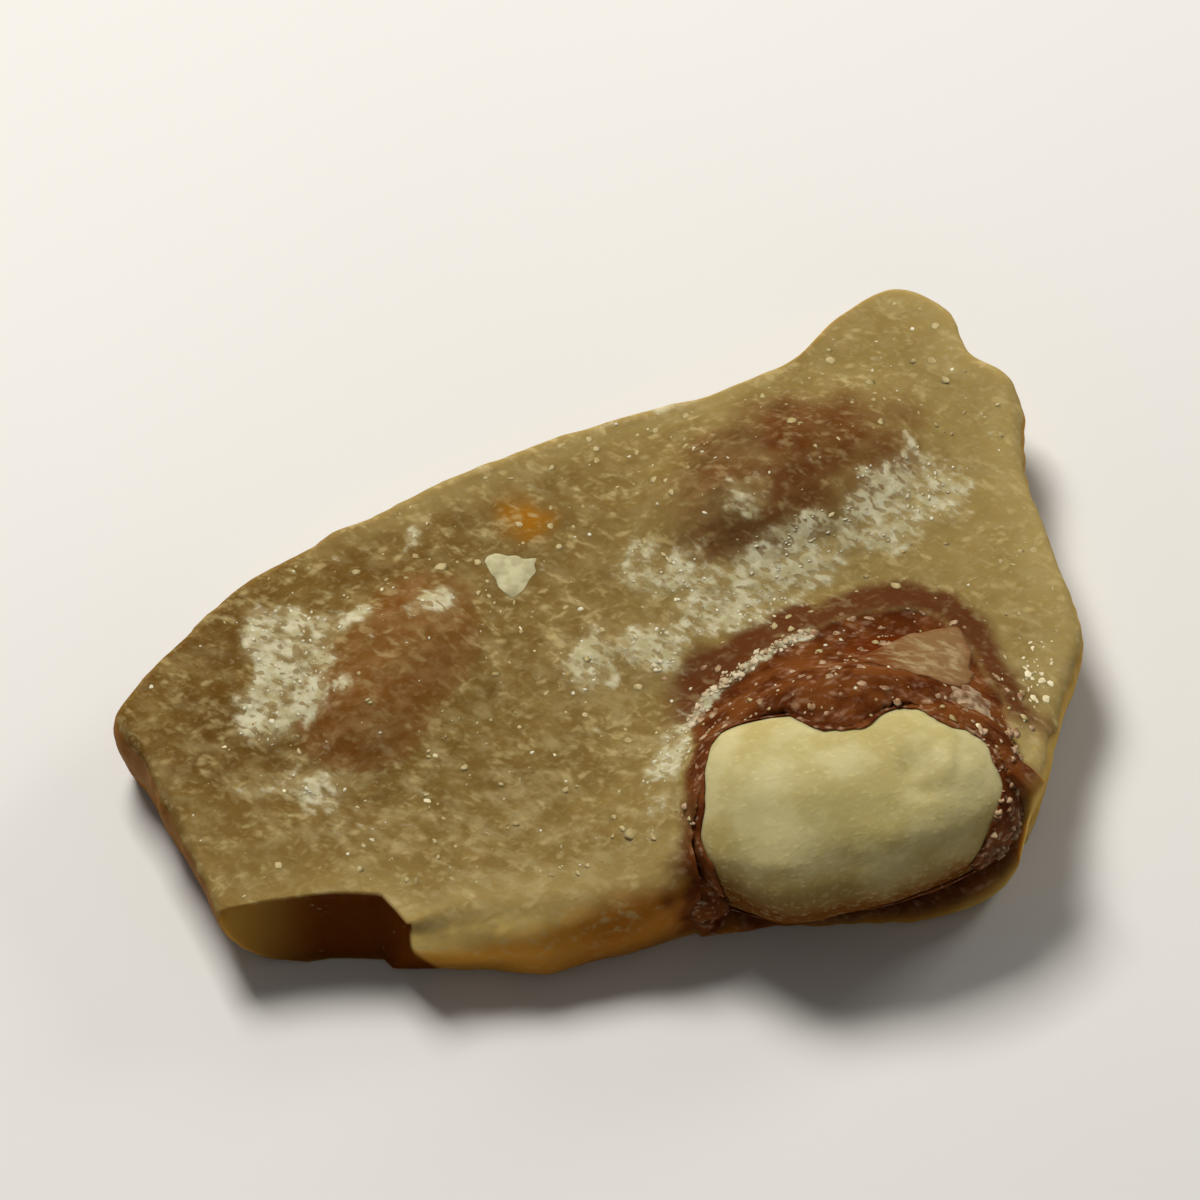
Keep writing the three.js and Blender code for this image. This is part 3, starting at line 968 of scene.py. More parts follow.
# %% Roll of skin
# the roll's path: x, y, z and radius
ROLL_PATH = np.array([
    [4.35, -12.2, 5.5, 0.05], [4.4, -13.4, 5.2, 0.5], [4.5, -15.0, 4.8, 0.8], [4.8, -16.2, 4.1, 0.95],
    [5.1, -16.6, 3.0, 1.0], [5.5, -16.4, 2.0, 0.8], [6.0, -15.8, 1.3, 0.05],
])


def skin_roll():
    """Skin pushed up at the kernel's foot: a rough tube along a path, thin at both ends.

    Each place is the path's place plus the radius in a direction square to the path, made
    larger and smaller by noise and kept above the floor."""
    corners = np.arange(len(ROLL_PATH))
    share = np.linspace(0, len(ROLL_PATH) - 1, 90)
    line = np.stack([np.interp(share, corners, column) for column in ROLL_PATH.T], axis=1)
    ahead = np.gradient(line[:, :3], axis=0)
    ahead = ahead / np.linalg.norm(ahead, axis=1, keepdims=True)
    across = np.cross(ahead, [1.0, 0, 0.2])
    across = across / np.linalg.norm(across, axis=1, keepdims=True)
    up = np.cross(ahead, across)
    around = (-2 * np.pi * np.arange(64) / 64)[None, :, None]
    way = across[:, None] * np.cos(around) + up[:, None] * np.sin(around)
    spot = line[:, None, :3] + way * line[:, None, 3:]
    rough = 0.42 * uneven(spot, 0.9, 46) + 0.2 * uneven(spot, 0.4, 47)
    rows = line[:, None, :3] + way * (line[:, None, 3:] * (1 + rough[..., None]))
    rows[..., 2] = np.maximum(rows[..., 2], 0.1)
    rows[0], rows[-1] = rows[0].mean(axis=0), rows[-1].mean(axis=0)
    return new_piece("skin_roll", *closed_grid(rows)), rows


roll_piece, roll_surface = skin_roll()

# %% [markdown]
# ## Chips and flakes
# A white chip of nut is stuck on the slab, and a dry flake of skin lies behind the bare kernel.
# They could be cut from a block, but flat crumbs are easier told as plates: two sheets over the
# same outline, the upper one raised.


# %% Plates
def plate(name, outline, rows, top, bottom):
    """A closed plate: upper and lower sheets meet at the outline's rim.

    top and bottom give the height of each sheet from plan places and the share of the way
    from the plate's middle to its rim."""
    middle = outline.mean(axis=0)
    share = np.linspace(0, 1, rows)[:, None]
    x = middle[0] + (outline[:, 0] - middle[0]) * share
    y = middle[1] + (outline[:, 1] - middle[1]) * share
    upper = with_height(x, y, top(x, y, share))
    lower = with_height(x, y, bottom(x, y, share))[::-1]
    return new_piece(name, *closed_grid(np.concatenate([upper, lower])))


# %% Nut chip
def nut_chip():
    """A chip of white nut: three corners, a flat broken top that slopes, steep sides."""
    corners = np.array([
        [-5.6, 1.7], [-5.2, 1.0], [-4.4, 0.1], [-3.6, 0.1],
        [-2.9, 1.8], [-2.6, 2.6], [-3.9, 2.75], [-5.2, 2.7],
    ])
    outline = closed_curve(corners, 96)
    outline = outline + 0.12 * uneven(on_plan(outline), 0.4, 56)[:, None]

    def top(x, y, share):
        face = slab_height(x, y) + 0.2 - 0.03 * (x + 4)
        return face + 0.12 * uneven(with_height(x, y), 0.6, 51) - 0.24 * share**3

    def bottom(x, y, share):
        return slab_height(x, y) - 0.4 * (1 - share**6)

    return plate("nut_chip", outline, rows=14, top=top, bottom=bottom)


chip_piece = nut_chip()

# %% [markdown]
# The flake is a fan of dry skin with its narrow corner to the left. Beside it sits a clod of dust
# and skin. Both follow the fine face of the slab.


# %% Skin flake
FLAKE_ROWS = 20


def skin_flake():
    """A flake of dry skin: a thin three-cornered sheet, 0.13 mm proud of what it lies on.

    Its rim mask is the share of the way from its middle to its rim."""
    corners = np.array([
        [12.6, -5.0], [14.2, -5.9], [16.0, -6.7], [17.7, -6.7], [18.3, -4.6],
        [17.7, -2.0], [15.6, -2.4], [13.5, -4.0],
    ])
    outline = closed_curve(corners, 96)
    outline = outline + 0.3 * uneven(on_plan(outline), 0.5, 55)[:, None]

    def top(x, y, share):
        rough = 0.06 * uneven(with_height(x, y), 0.6, 52)
        return candy_top(x, y)[0] + (0.13 + rough) * (1 - share**6) + 0.01

    def bottom(x, y, share):
        return candy_top(x, y)[0] - 0.15 * (1 - share**6) - 0.01

    piece = plate("skin_flake", outline, rows=FLAKE_ROWS, top=top, bottom=bottom)
    # the pole is a single vertex, so all but one of the first row's shares are left out
    share = np.repeat(np.linspace(0, 1, FLAKE_ROWS), len(outline))[len(outline) - 1:]
    store(piece, "rim", np.concatenate([share, share[::-1]]))
    return piece


flake_piece = skin_flake()


# %% Dusty clod
def dusty_clod():
    """A round clod of dust and skin behind the kernel's right end: a low bumpy dome."""
    angle = 2 * np.pi * np.arange(64) / 64
    radius = 1.1 + 0.4 * uneven(3 * with_height(np.cos(angle), np.sin(angle)), 0.9, 53)
    across, along = 0.95 * radius * np.cos(angle), radius * np.sin(angle)
    outline = np.stack([18.3 + across, -7.6 + along], axis=1)

    def top(x, y, share):
        dome = 0.34 * (1 - share**2)
        return candy_top(x, y)[0] + dome + 0.2 * uneven(with_height(x, y), 0.5, 54) * (1 - share**4)

    def bottom(x, y, share):
        return candy_top(x, y)[0] - 0.2 * (1 - share**4)

    return plate("dusty_clod", outline, rows=14, top=top, bottom=bottom)


clod_piece = dusty_clod()

# %% [markdown]
# ## Powder, crumbs and sugar crystals
# What the pieces rub off each other lies on them as dust: fine white powder that gathers in
# hollows, cream crumbs of candy all over, red crumbs of skin and clear sugar crystals. Each
# kind is one joined mesh. A grain is a solid of twenty faces with its corners shaken, and numpy
# places all the grains at once.

# %% Shape of a grain
GOLDEN = (1 + math.sqrt(5)) / 2
GRAIN_CORNERS = np.array([
    [-1, GOLDEN, 0], [1, GOLDEN, 0], [-1, -GOLDEN, 0], [1, -GOLDEN, 0],
    [0, -1, GOLDEN], [0, 1, GOLDEN], [0, -1, -GOLDEN], [0, 1, -GOLDEN],
    [GOLDEN, 0, -1], [GOLDEN, 0, 1], [-GOLDEN, 0, -1], [-GOLDEN, 0, 1],
]) / math.hypot(1, GOLDEN)
GRAIN_FACES = np.array([
    [0, 11, 5], [0, 5, 1], [0, 1, 7], [0, 7, 10], [0, 10, 11], [1, 5, 9], [5, 11, 4],
    [11, 10, 2], [10, 7, 6], [7, 1, 8], [3, 9, 4], [3, 4, 2], [3, 2, 6], [3, 6, 8],
    [3, 8, 9], [4, 9, 5], [2, 4, 11], [6, 2, 10], [8, 6, 7], [9, 8, 1],
])
print("a grain has", len(GRAIN_FACES), "faces")


# %% Places for grains
def spots(count, seed, weigh):
    """Random plan places on the slab, kept with a chance given by weigh(x, y, masks).

    None are kept in the pocket, near the rim or over the chip."""
    dice = np.random.default_rng(seed)
    x = dice.uniform(box_low[0], box_high[0], count)
    y = dice.uniform(box_low[1], box_high[1], count)
    height, masks, pocket = candy_top(x, y)
    kept = (dice.uniform(0, 1, count) < weigh(x, y, masks)) & ~pocket
    worn_front = smooth_step(-10.5, -8.5, x) * (1 - smooth_step(3, 7, x)) * (y < -12)
    kept &= outline_depth(x, y, SLAB_OUTLINE[:, :2]) > 0.7 + 1.7 * worn_front
    kept &= np.hypot(x, y) < wall_reach(np.arctan2(y, x), SLAB_THICKNESS) - 0.6
    return with_height(x[kept], y[kept], height[kept]), dice


# %% Joined mesh of grains
def scatter(name, places, dice, sizes, flat, sink):
    """One joined mesh of grains: each shaken and turned at random, flattened and sunk a little.

    A corner's place is the grain's corner, stretched, shaken and turned, times half the
    grain's size, plus the grain's place on the slab. Sizes are the smallest and the largest
    in mm, flat is height over width, and sink is the share of the height that is sunk."""
    count = len(places)
    smallest, largest = sizes
    size = smallest + (largest - smallest) * dice.uniform(0, 1, count) ** 2
    turns = np.linalg.qr(dice.normal(size=(count, 3, 3)))[0]
    turns[:, :, 0] *= np.linalg.det(turns)[:, None]
    stretch = dice.uniform(0.5, 1.6, (count, 1, 3))
    shaken = GRAIN_CORNERS * stretch + dice.uniform(-0.16, 0.16, (count, 12, 3))
    grains = np.einsum("nij,nkj->nki", turns, shaken) * size[:, None, None] / 2 * (1, 1, flat)
    middles = places + with_height(0, 0, size * flat * (0.5 - sink))
    grains = grains + middles[:, None, :]
    faces = GRAIN_FACES + 12 * np.arange(count)[:, None, None]
    return new_piece(name, grains.reshape(-1, 3), faces.reshape(-1, 3))


# %% [markdown]
# The finest grains are sugar dust. They lie thickest where the powder mask is high, so they
# break up the flat edge of the painted powder.


# %% Powder grains
def powder_chance(x, y, masks):
    """Many grains where powder lies, a few everywhere."""
    return 0.38 * smooth_step(0.35, 1.0, masks["powder"]) + 0.015


places, dice = spots(18000, 61, powder_chance)
powder_piece = scatter("powder_grains", places, dice, sizes=(0.1, 0.3), flat=0.15, sink=0.8)

# %% [markdown]
# Crumbs of candy cling to the open face. They are flat and mostly sunk, as they were pressed on
# while the pieces rubbed together in the bowl.


# %% Candy crumbs
def crumb_chance(x, y, masks):
    """Few crumbs on powder, skin and film, and none at the slab's left end."""
    bare = (1 - 0.8 * masks["powder"]) * (1 - 0.7 * masks["skin"]) * (1 - 0.6 * masks["film"])
    return 0.3 * bare * smooth_step(-21, -8, x)


places, dice = spots(3000, 62, crumb_chance)
crumb_piece = scatter("candy_crumbs", places, dice, sizes=(0.16, 0.56), flat=0.12, sink=0.8)

# %% [markdown]
# Crumbs of skin lie on the torn skin, down its outer wall at the kernel's right end and on the
# roll. Wall and roll are too steep for a plan place, so their crumbs take places of their grids.


# %% Skin crumbs
def skin_crumb_chance(x, y, masks):
    """Many crumbs on skin, some in the dark band and a swarm along the kernel's right end."""
    right_rim = path_distance(x, y, ((17.0, -3.0), (19.3, -6.5), (20.6, -11.5)))
    swarm = np.clip(1.3 - right_rim / 1.3, 0, 1)
    return 0.5 * masks["skin"] + 0.15 * masks["band"] + 0.8 * swarm


def rim_spots(count, seed):
    """Random places on the skin's outer wall at the kernel's right end, and on the roll."""
    dice = np.random.default_rng(seed)
    wall = skin_outside[1:].reshape(-1, 3)
    wall = wall[(wall[:, 0] > 18.6) & (wall[:, 2] > 3.6)]
    roll = roll_surface[3:-6].reshape(-1, 3)
    roll = roll[roll[:, 2] > 2.4]
    on_roll = roll[dice.integers(0, len(roll), count // 2)]
    return np.concatenate([wall[dice.integers(0, len(wall), count)], on_roll])


places, dice = spots(4500, 63, skin_crumb_chance)
places = np.concatenate([places, rim_spots(170, 66)])
skin_crumb_piece = scatter("skin_crumbs", places, dice, sizes=(0.12, 0.6), flat=0.15, sink=0.75)

# %% [markdown]
# Coarse sugar crystals shine at the right edge, with a few strays elsewhere. Their faces are
# left flat, because a crystal glints from one face at a time.


# %% Sugar crystals
def crystal_chance(x, y, masks):
    """A cluster along a short path at the right edge, and a few strays."""
    cluster = path_distance(x, y, ((21.8, -3.2), (21.5, -6.2)))
    return 0.003 + 0.9 * np.clip(1.4 - cluster / 0.8, 0, 1)


places, dice = spots(16000, 64, crystal_chance)
crystal_piece = scatter("sugar_crystals", places, dice, sizes=(0.12, 0.42), flat=0.25, sink=0.75)
crystal_piece.data.shade_flat()

# %% [markdown]
# Powder was caught along the crest where the film of candy ends on the skin. It is a line of
# small flat heaps, strayed to both sides of the crest.


# %% Ridge powder
def beads_on(path, count, spread, seed):
    """Places along a path on the candy's top, strayed by about spread mm."""
    dice = np.random.default_rng(seed)
    corners = np.array(path)
    steps = np.linalg.norm(np.diff(corners, axis=0), axis=1)
    length = np.concatenate([[0], np.cumsum(steps)])
    along = dice.uniform(0, length[-1], count)
    x = np.interp(along, length, corners[:, 0]) + dice.normal(0, spread, count)
    y = np.interp(along, length, corners[:, 1]) + dice.normal(0, spread, count)
    return with_height(x, y, candy_top(x, y)[0]), dice


places, dice = beads_on(RIDGE, 170, 0.19, 65)
bead_piece = scatter("ridge_powder", places, dice, sizes=(0.1, 0.42), flat=0.15, sink=0.75)

# %% [markdown]
# ## Materials
# A finish is a tree of nodes. Small helpers write the nodes, so that each finish reads as a list
# of layers: a ground colour, then what lies over it, each with its own mask. Colours are given
# as they look on a screen and turned into the linear values that light is reckoned in.


# %% Colours and links
def paint(red, green, blue):
    """A colour given as it looks on a screen, 0 to 255, turned into the shader's linear values."""
    screen = np.array([red, green, blue]) / 255
    linear = np.where(screen <= 0.04045, screen / 12.92, ((screen + 0.055) / 1.055) ** 2.4)
    return (*linear.tolist(), 1.0)


def join(tree, value, socket):
    """Links a socket to an input, or sets the input to a plain value."""
    if isinstance(value, bpy.types.NodeSocket):
        tree.links.new(value, socket)
    else:
        socket.default_value = value


def blend(tree, factor, below, above):
    """Colour above laid over colour below where factor is 1."""
    node = tree.nodes.new("ShaderNodeMix")
    node.data_type = "RGBA"
    join(tree, factor, node.inputs[0])
    join(tree, below, node.inputs[6])
    join(tree, above, node.inputs[7])
    return node.outputs[2]


print("a mid grey on the screen is", round(paint(128, 128, 128)[0], 3), "in linear light")

# %% [markdown]
# Masks are numbers from 0 to 1. Two masks times each other say "here and there at once", their
# maximum says "here or there", and a smooth ramp turns any measure, such as a place in mm,
# into a mask.


# %% Numbers and masks
def maths(tree, operation, first, second=0.0, clamp=False):
    """One sum on two values, each a socket or a plain number."""
    node = tree.nodes.new("ShaderNodeMath")
    node.operation = operation
    node.use_clamp = clamp
    join(tree, first, node.inputs[0])
    join(tree, second, node.inputs[1])
    return node.outputs[0]


def times(tree, first, *others):
    """All the given values multiplied together."""
    for other in others:
        first = maths(tree, "MULTIPLY", first, other)
    return first


def ramp(tree, value, low, high, out_low=0.0, out_high=1.0):
    """A smooth step of value between low and high."""
    node = tree.nodes.new("ShaderNodeMapRange")
    node.interpolation_type = "SMOOTHSTEP"
    join(tree, value, node.inputs["Value"])
    ends = {"From Min": low, "From Max": high, "To Min": out_low, "To Max": out_high}
    for name, number in ends.items():
        join(tree, number, node.inputs[name])
    return node.outputs["Result"]


def along(tree, line, low, high, out_low=0.0, out_high=1.0):
    """A smooth step along one axis, between two places in mm."""
    return ramp(tree, line, low * MM, high * MM, out_low, out_high)


def axes_of(tree, place):
    """The X, Y and Z of a place."""
    node = tree.nodes.new("ShaderNodeSeparateXYZ")
    join(tree, place, node.inputs[0])
    return node.outputs["X"], node.outputs["Y"], node.outputs["Z"]


def mask_of(tree, name):
    """A mask kept on the mesh as an attribute."""
    node = tree.nodes.new("ShaderNodeAttribute")
    node.attribute_name = name
    return node.outputs["Fac"]


# %% [markdown]
# Soft noise gives every finish its blotches. Its size is asked for in mm, and its marks can be
# drawn out along a direction, as rubbed sugar and smeared dust are.


# %% Places and noise
def own_places(tree):
    """Object coordinates, which are metres on a piece that sits at the origin."""
    return tree.nodes.new("ShaderNodeTexCoord").outputs["Object"]


def noise(tree, vector, scale, detail=2.0, rough=0.5):
    """Soft noise around a half, with the given number of blotches to a metre."""
    node = tree.nodes.new("ShaderNodeTexNoise")
    join(tree, vector, node.inputs["Vector"])
    join(tree, scale, node.inputs["Scale"])
    node.inputs["Detail"].default_value = detail
    node.inputs["Roughness"].default_value = rough
    return node.outputs["Fac"]


def mottle(tree, vector, size, detail=2.0, rough=0.5):
    """Soft noise with blotches of the given size in mm."""
    return noise(tree, vector, 1 / (size * MM), detail, rough)


def drawn_out(tree, place, turn, stretch):
    """Places for a texture whose marks are drawn out along a direction, turned in degrees."""
    node = tree.nodes.new("ShaderNodeMapping")
    node.vector_type = "TEXTURE"
    join(tree, place, node.inputs["Vector"])
    node.inputs["Rotation"].default_value = (0, 0, math.radians(turn))
    node.inputs["Scale"].default_value = (stretch, 1, 1)
    return node.outputs["Vector"]


# %% [markdown]
# An effect that several finishes share is a group: a small tree with named inputs and outputs,
# used like one node. Changing the group changes every finish that uses it.


# %% Materials and groups
def bump(tree, height, distance_mm):
    """Tilts the surface's light by a height map that stands the given number of mm high."""
    node = tree.nodes.new("ShaderNodeBump")
    node.inputs["Distance"].default_value = distance_mm * MM
    join(tree, height, node.inputs["Height"])
    return node.outputs["Normal"]


def new_material(name):
    """A material's node tree and its main shader."""
    material = bpy.data.materials.new(name)
    material.use_nodes = True
    return material.node_tree, material.node_tree.nodes["Principled BSDF"]


def scatter_light(shader, weight, radius, scale_mm):
    """Lets light travel under the surface: how much, how far for red, green and blue."""
    shader.inputs["Subsurface Weight"].default_value = weight
    shader.inputs["Subsurface Radius"].default_value = radius
    shader.inputs["Subsurface Scale"].default_value = scale_mm * MM


def new_group(name, inputs, outputs):
    """An empty shader group with named float or vector sockets."""
    group = bpy.data.node_groups.new(name, "ShaderNodeTree")
    for label, kind in inputs:
        group.interface.new_socket(label, in_out="INPUT", socket_type=kind)
    for label, kind in outputs:
        group.interface.new_socket(label, in_out="OUTPUT", socket_type=kind)
    return group, group.nodes.new("NodeGroupInput"), group.nodes.new("NodeGroupOutput")


def use_group(tree, group, **inputs):
    """A group used in a tree, with its named inputs linked or set."""
    node = tree.nodes.new("ShaderNodeGroup")
    node.node_tree = group
    for label, value in inputs.items():
        join(tree, value, node.inputs[label])
    return node


def assign(piece, name):
    """Gives a piece its finish, and says how many nodes that finish has."""
    piece.data.materials.clear()
    piece.data.materials.append(bpy.data.materials[name])
    nodes = len(bpy.data.materials[name].node_tree.nodes)
    print(piece.name.removeprefix("v_"), "is finished with", name, "of", nodes, "nodes")


# %% [markdown]
# Sugar grain is on every surface of the piece but never alike: coarse and pale on the slab,
# fine on the kernel. A cell pattern gives each grain its own random tone, and only the tones
# below the wanted share become dots. Between them lie soft smears, which are the peaks of
# two noises drawn out in different directions.


# %% Sugar grain group
def sugar_grain_group():
    """Specks (0 to 1) and a fine height, from a place, a grain's size in mm and a share."""
    group, start, end = new_group(
        "sugar_grain",
        [("Place", "NodeSocketVector"), ("Size", "NodeSocketFloat"), ("Share", "NodeSocketFloat")],
        [("Specks", "NodeSocketFloat"), ("Height", "NodeSocketFloat")],
    )
    place = start.outputs["Place"]
    scale = maths(group, "DIVIDE", 1 / MM, start.outputs["Size"])
    cells = group.nodes.new("ShaderNodeTexVoronoi")
    join(group, drawn_out(group, place, 15, 1.6), cells.inputs["Vector"])
    join(group, scale, cells.inputs["Scale"])
    tones = group.nodes.new("ShaderNodeSeparateColor")
    join(group, cells.outputs["Color"], tones.inputs[0])
    chosen = maths(group, "LESS_THAN", tones.outputs[0], start.outputs["Share"])
    dots = times(group, chosen, ramp(group, cells.outputs["Distance"], 0.05, 0.5, 1.0, 0.0))
    smears = 0.0
    for turn, limit in ((-28, 0.55), (34, 0.58)):
        fine = noise(group, drawn_out(group, place, turn, 1.7), scale)
        smears = maths(group, "MAXIMUM", smears, ramp(group, fine, limit, limit + 0.2))
    height = maths(group, "ADD", times(group, dots, 0.5), fine)
    join(group, maths(group, "MAXIMUM", dots, smears), end.inputs["Specks"])
    join(group, height, end.inputs["Height"])
    return group


sugar_grain = sugar_grain_group()
print("the sugar grain group has", len(sugar_grain.nodes), "nodes")

# %% [markdown]
# Powder on the slab has feathery edges far finer than the mesh, so the mesh only says where
# powder lies thickly. Noise is added to that mask and the sum is cut off softly: deep inside a
# patch it is white all over, near the rim only the noise's peaks stay white.


# %% Powder group
def powder_group():
    """A thin veil and a white crust (0 to 1), from a place and how thickly powder lies there.

    The crust is the cover plus both noises, cut off softly, with small pits left open."""
    group, start, end = new_group(
        "powder_edge",
        [("Place", "NodeSocketVector"), ("Cover", "NodeSocketFloat")],
        [("Veil", "NodeSocketFloat"), ("White", "NodeSocketFloat")],
    )
    place, cover = start.outputs["Place"], start.outputs["Cover"]
    coarse = maths(group, "SUBTRACT", mottle(group, place, 1.2, 4, 0.6), 0.5)
    streaks = drawn_out(group, place, -30, 1.8)
    fine = maths(group, "SUBTRACT", mottle(group, streaks, 0.4), 0.5)
    feathers = maths(group, "ADD", times(group, coarse, 2.3), times(group, fine, 1.3))
    crust = ramp(group, maths(group, "ADD", cover, feathers), 0.42, 1.12)
    grooves = mottle(group, drawn_out(group, place, -35, 1.7), 0.42, 1)
    pits = ramp(group, grooves, 0.47, 0.37)
    white = times(group, crust, ramp(group, pits, 0, 1, 1.0, 0.22))
    veil = ramp(group, maths(group, "ADD", cover, times(group, coarse, 0.9)), 0.12, 0.9)
    join(group, veil, end.inputs["Veil"])
    join(group, white, end.inputs["White"])
    return group


powder_edge = powder_group()
print("the powder group has", len(powder_edge.nodes), "nodes")

# %% [markdown]
# ## Candy
# Brittle is a cloudy amber glass. Light goes in, scatters and comes out a millimetre away, which
# softens every edge in it: that is what subsurface scattering does. The finish is laid in
# layers. First the ground: mottled amber, lighter to the right and towards the front, and milky
# where the sugar has clouded. Its darker left end is partly the candy's own tone and partly
# painted shade, and the lighter band along the rim is painted light.


# %% Ground colour of the candy
def candy_ground(tree, place, pale):
    """Mottled amber that grows lighter towards +X and -Y, with pale clouds."""
    x, y, _ = axes_of(tree, place)
    broad = ramp(tree, mottle(tree, place, 5.5, 4, 0.6), 0.34, 0.66)
    colour = blend(tree, broad, paint(90, 64, 25), paint(101, 76, 32))
    # darker towards the left end: partly the candy's own tone and partly painted shade
    colour = blend(tree, along(tree, x, -18, 23, 0.0, 0.85), colour, paint(141, 122, 72))
    colour = blend(tree, along(tree, y, -8, -19, 0.0, 0.42), colour, paint(154, 132, 77))
    # painted light: lighter near the rim, as if light came through the thin edge
    colour = blend(tree, times(tree, mask_of(tree, "rim"), 0.4), colour, paint(162, 144, 92))
    colour = blend(tree, ramp(tree, pale, 0.40, 0.74, 0, 0.45), colour, paint(140, 119, 72))
    wisps = mottle(tree, drawn_out(tree, place, -20, 1.5), 0.8, 3, 0.55)
    clouds = times(
        tree,
        ramp(tree, wisps, 0.42, 0.74),
        along(tree, y, 2, -12, 0.25, 0.6),
        # fewer pale clouds towards the left end, which is partly painted shade
        along(tree, x, -9, -19, 1.0, 0.55),
    )
    return blend(tree, clouds, colour, paint(162, 146, 104))


# %% [markdown]
# Two kernels show brown through the film of candy over them: rust brown behind, more orange to
# the right, paler at the left. A dark band runs round the back of the torn skin, and one orange
# fleck lies in the middle. The mesh carries a mask for each.


# %% Kernels seen through the candy
def kernel_shades(tree, place, pale, colour):
    """The brown of the kernels that show through, the dark band and the orange fleck."""
    x, _, _ = axes_of(tree, place)
    film = times(
        tree,
        mask_of(tree, "film"),
        ramp(tree, pale, 0.3, 0.7, 1.0, 0.85),
        ramp(tree, mottle(tree, place, 2.8, 3), 0.36, 0.62, 0.8, 1.0),
        0.95,
    )
    blotches = ramp(tree, mottle(tree, place, 2.4), 0.38, 0.62)
    brown = blend(tree, blotches, paint(66, 27, 8), paint(84, 39, 13))
    brown = blend(tree, along(tree, x, 7.5, 11, 0.0, 0.9), brown, paint(78, 31, 1))
    brown = blend(tree, along(tree, x, 0.0, -4), brown, paint(106, 60, 20))
    colour = blend(tree, film, colour, brown)
    wisps = mottle(tree, drawn_out(tree, place, 30, 1.6), 0.9, 4, 0.6)
    milk = times(
        tree,
        ramp(tree, wisps, 0.44, 0.70),
        along(tree, x, 4, 8, 0.5, 0.08),
        mask_of(tree, "film"),
    )
    colour = blend(tree, milk, colour, paint(150, 118, 80))
    colour = blend(tree, times(tree, mask_of(tree, "band"), 0.9), colour, paint(78, 33, 12))
    return blend(tree, times(tree, mask_of(tree, "fleck"), 0.8), colour, paint(148, 96, 10))


# %% [markdown]
# The broken sides are clean glass, painted darker amber at the left end as painted shade. The
# front one is painted as if lit through from above: a painted glow, pale under the rim, that
# turns amber, then brown, low down beside the kernel. The chip out of the left corner is the
# darkest part, partly its own deep amber and partly painted shade.


# %% Broken sides of the candy
def side_shades(tree, place, pale, colour):
    """Clear amber on the sides, darker in the chip. Also gives how clear the candy is."""
    x, y, z = axes_of(tree, place)
    patches = ramp(tree, mottle(tree, place, 3.6, 2, 0.4), 0.3, 0.7)
    amber = blend(tree, patches, paint(150, 113, 44), paint(174, 141, 68))
    # painted shade: darker amber on the sides towards the left end
    amber = blend(tree, along(tree, x, -12, -19), amber, paint(122, 78, 24))
    clear = ramp(tree, maths(tree, "ADD", mask_of(tree, "side"), pale), 1.0, 1.5)
    colour = blend(tree, clear, colour, amber)

    # the front edge runs back to the right, so a place is measured from that slanting line
    past = maths(tree, "MAXIMUM", maths(tree, "ADD", x, 2 * MM), 0)
    frontal = along(tree, maths(tree, "SUBTRACT", y, times(tree, past, 0.3)), -16.9, -19.0)
    frontal = times(tree, frontal, along(tree, x, 8, 12, 1.0, 0.0))
    # painted light: a pale glow on the front side under the rim, as if light came through from above
    painted_glow = times(
        tree,
        frontal,
        along(tree, x, -12, -10, 0.0, 0.85),
        along(tree, z, 5.0, 4.3, 0.1, 1.0),
        ramp(tree, pale, 0.3, 0.7, 0.75, 1.0),
    )
    colour = blend(tree, painted_glow, colour, paint(226, 198, 120))
    drop = along(tree, maths(tree, "SUBTRACT", z, times(tree, x, 0.2)), 5.5, 4.1)
    dusty = maths(tree, "SUBTRACT", painted_glow, drop, clamp=True)
    clear = times(tree, clear, ramp(tree, dusty, 0, 1, 1.0, 0.4))
    # painted light fading low on the front side: amber, then brown towards the foot
    low_amber = blend(tree, along(tree, x, -3.5, 1), paint(180, 126, 44), paint(150, 92, 22))
    low_amber = blend(tree, along(tree, z, 3.2, 1.4, 0.0, 0.6), low_amber, paint(112, 66, 12))
    colour = blend(tree, times(tree, drop, frontal, 0.96), colour, low_amber)

    # the chip grows darker towards its right end: partly its own deep amber and partly painted shade
    chip = blend(tree, along(tree, x, -19, -13), paint(152, 116, 50), paint(80, 38, 6))
    colour = blend(tree, mask_of(tree, "chip"), colour, chip)
    colour = blend(tree, times(tree, mask_of(tree, "under"), 0.8), colour, paint(142, 98, 30))
    return colour, clear


# %% [markdown]
# Over the ground lie red scraps of skin, then cream specks of sugar, then powder. The specks
# are thick on the dull upper face, thin over the film, the skin and the band, and almost gone
# on the clear sides.


# %% Skin, specks and powder on the candy
def skin_on(tree, place, colour):
    """Scraps of skin stuck to the candy: two reds, deeper in the hollow beside the kernel."""
    blotches = ramp(tree, mottle(tree, place, 1.5, 3), 0.35, 0.65)
    red = blend(tree, blotches, paint(70, 31, 10), paint(98, 54, 22))
    red = blend(tree, mask_of(tree, "deep"), red, paint(84, 32, 6))
    return blend(tree, mask_of(tree, "skin"), colour, red)


def speck_strength(tree, place, clear):
    """How strongly specks show: full on the open face, less wherever a mask covers it."""
    x, _, _ = axes_of(tree, place)
    skin, band, film = (mask_of(tree, name) for name in ("skin", "band", "film"))
    covered = maths(tree, "MAXIMUM", maths(tree, "MAXIMUM", skin, band), film)
    return times(
        tree,
        ramp(tree, clear, 0, 1, 0.66, 0.12),
        ramp(tree, mottle(tree, place, 3.0, 3, 0.6), 0.34, 0.66, 0.55, 1.0),
        along(tree, x, -9, -19, 1.0, 0.8),
        ramp(tree, covered, 0, 1, 1.0, 0.45),
        ramp(tree, band, 0, 1, 1.0, 0.75),
        ramp(tree, mask_of(tree, "deep"), 0, 1, 1.0, 0.2),
        ramp(tree, mask_of(tree, "chip"), 0, 1, 1.0, 0.1),
    )


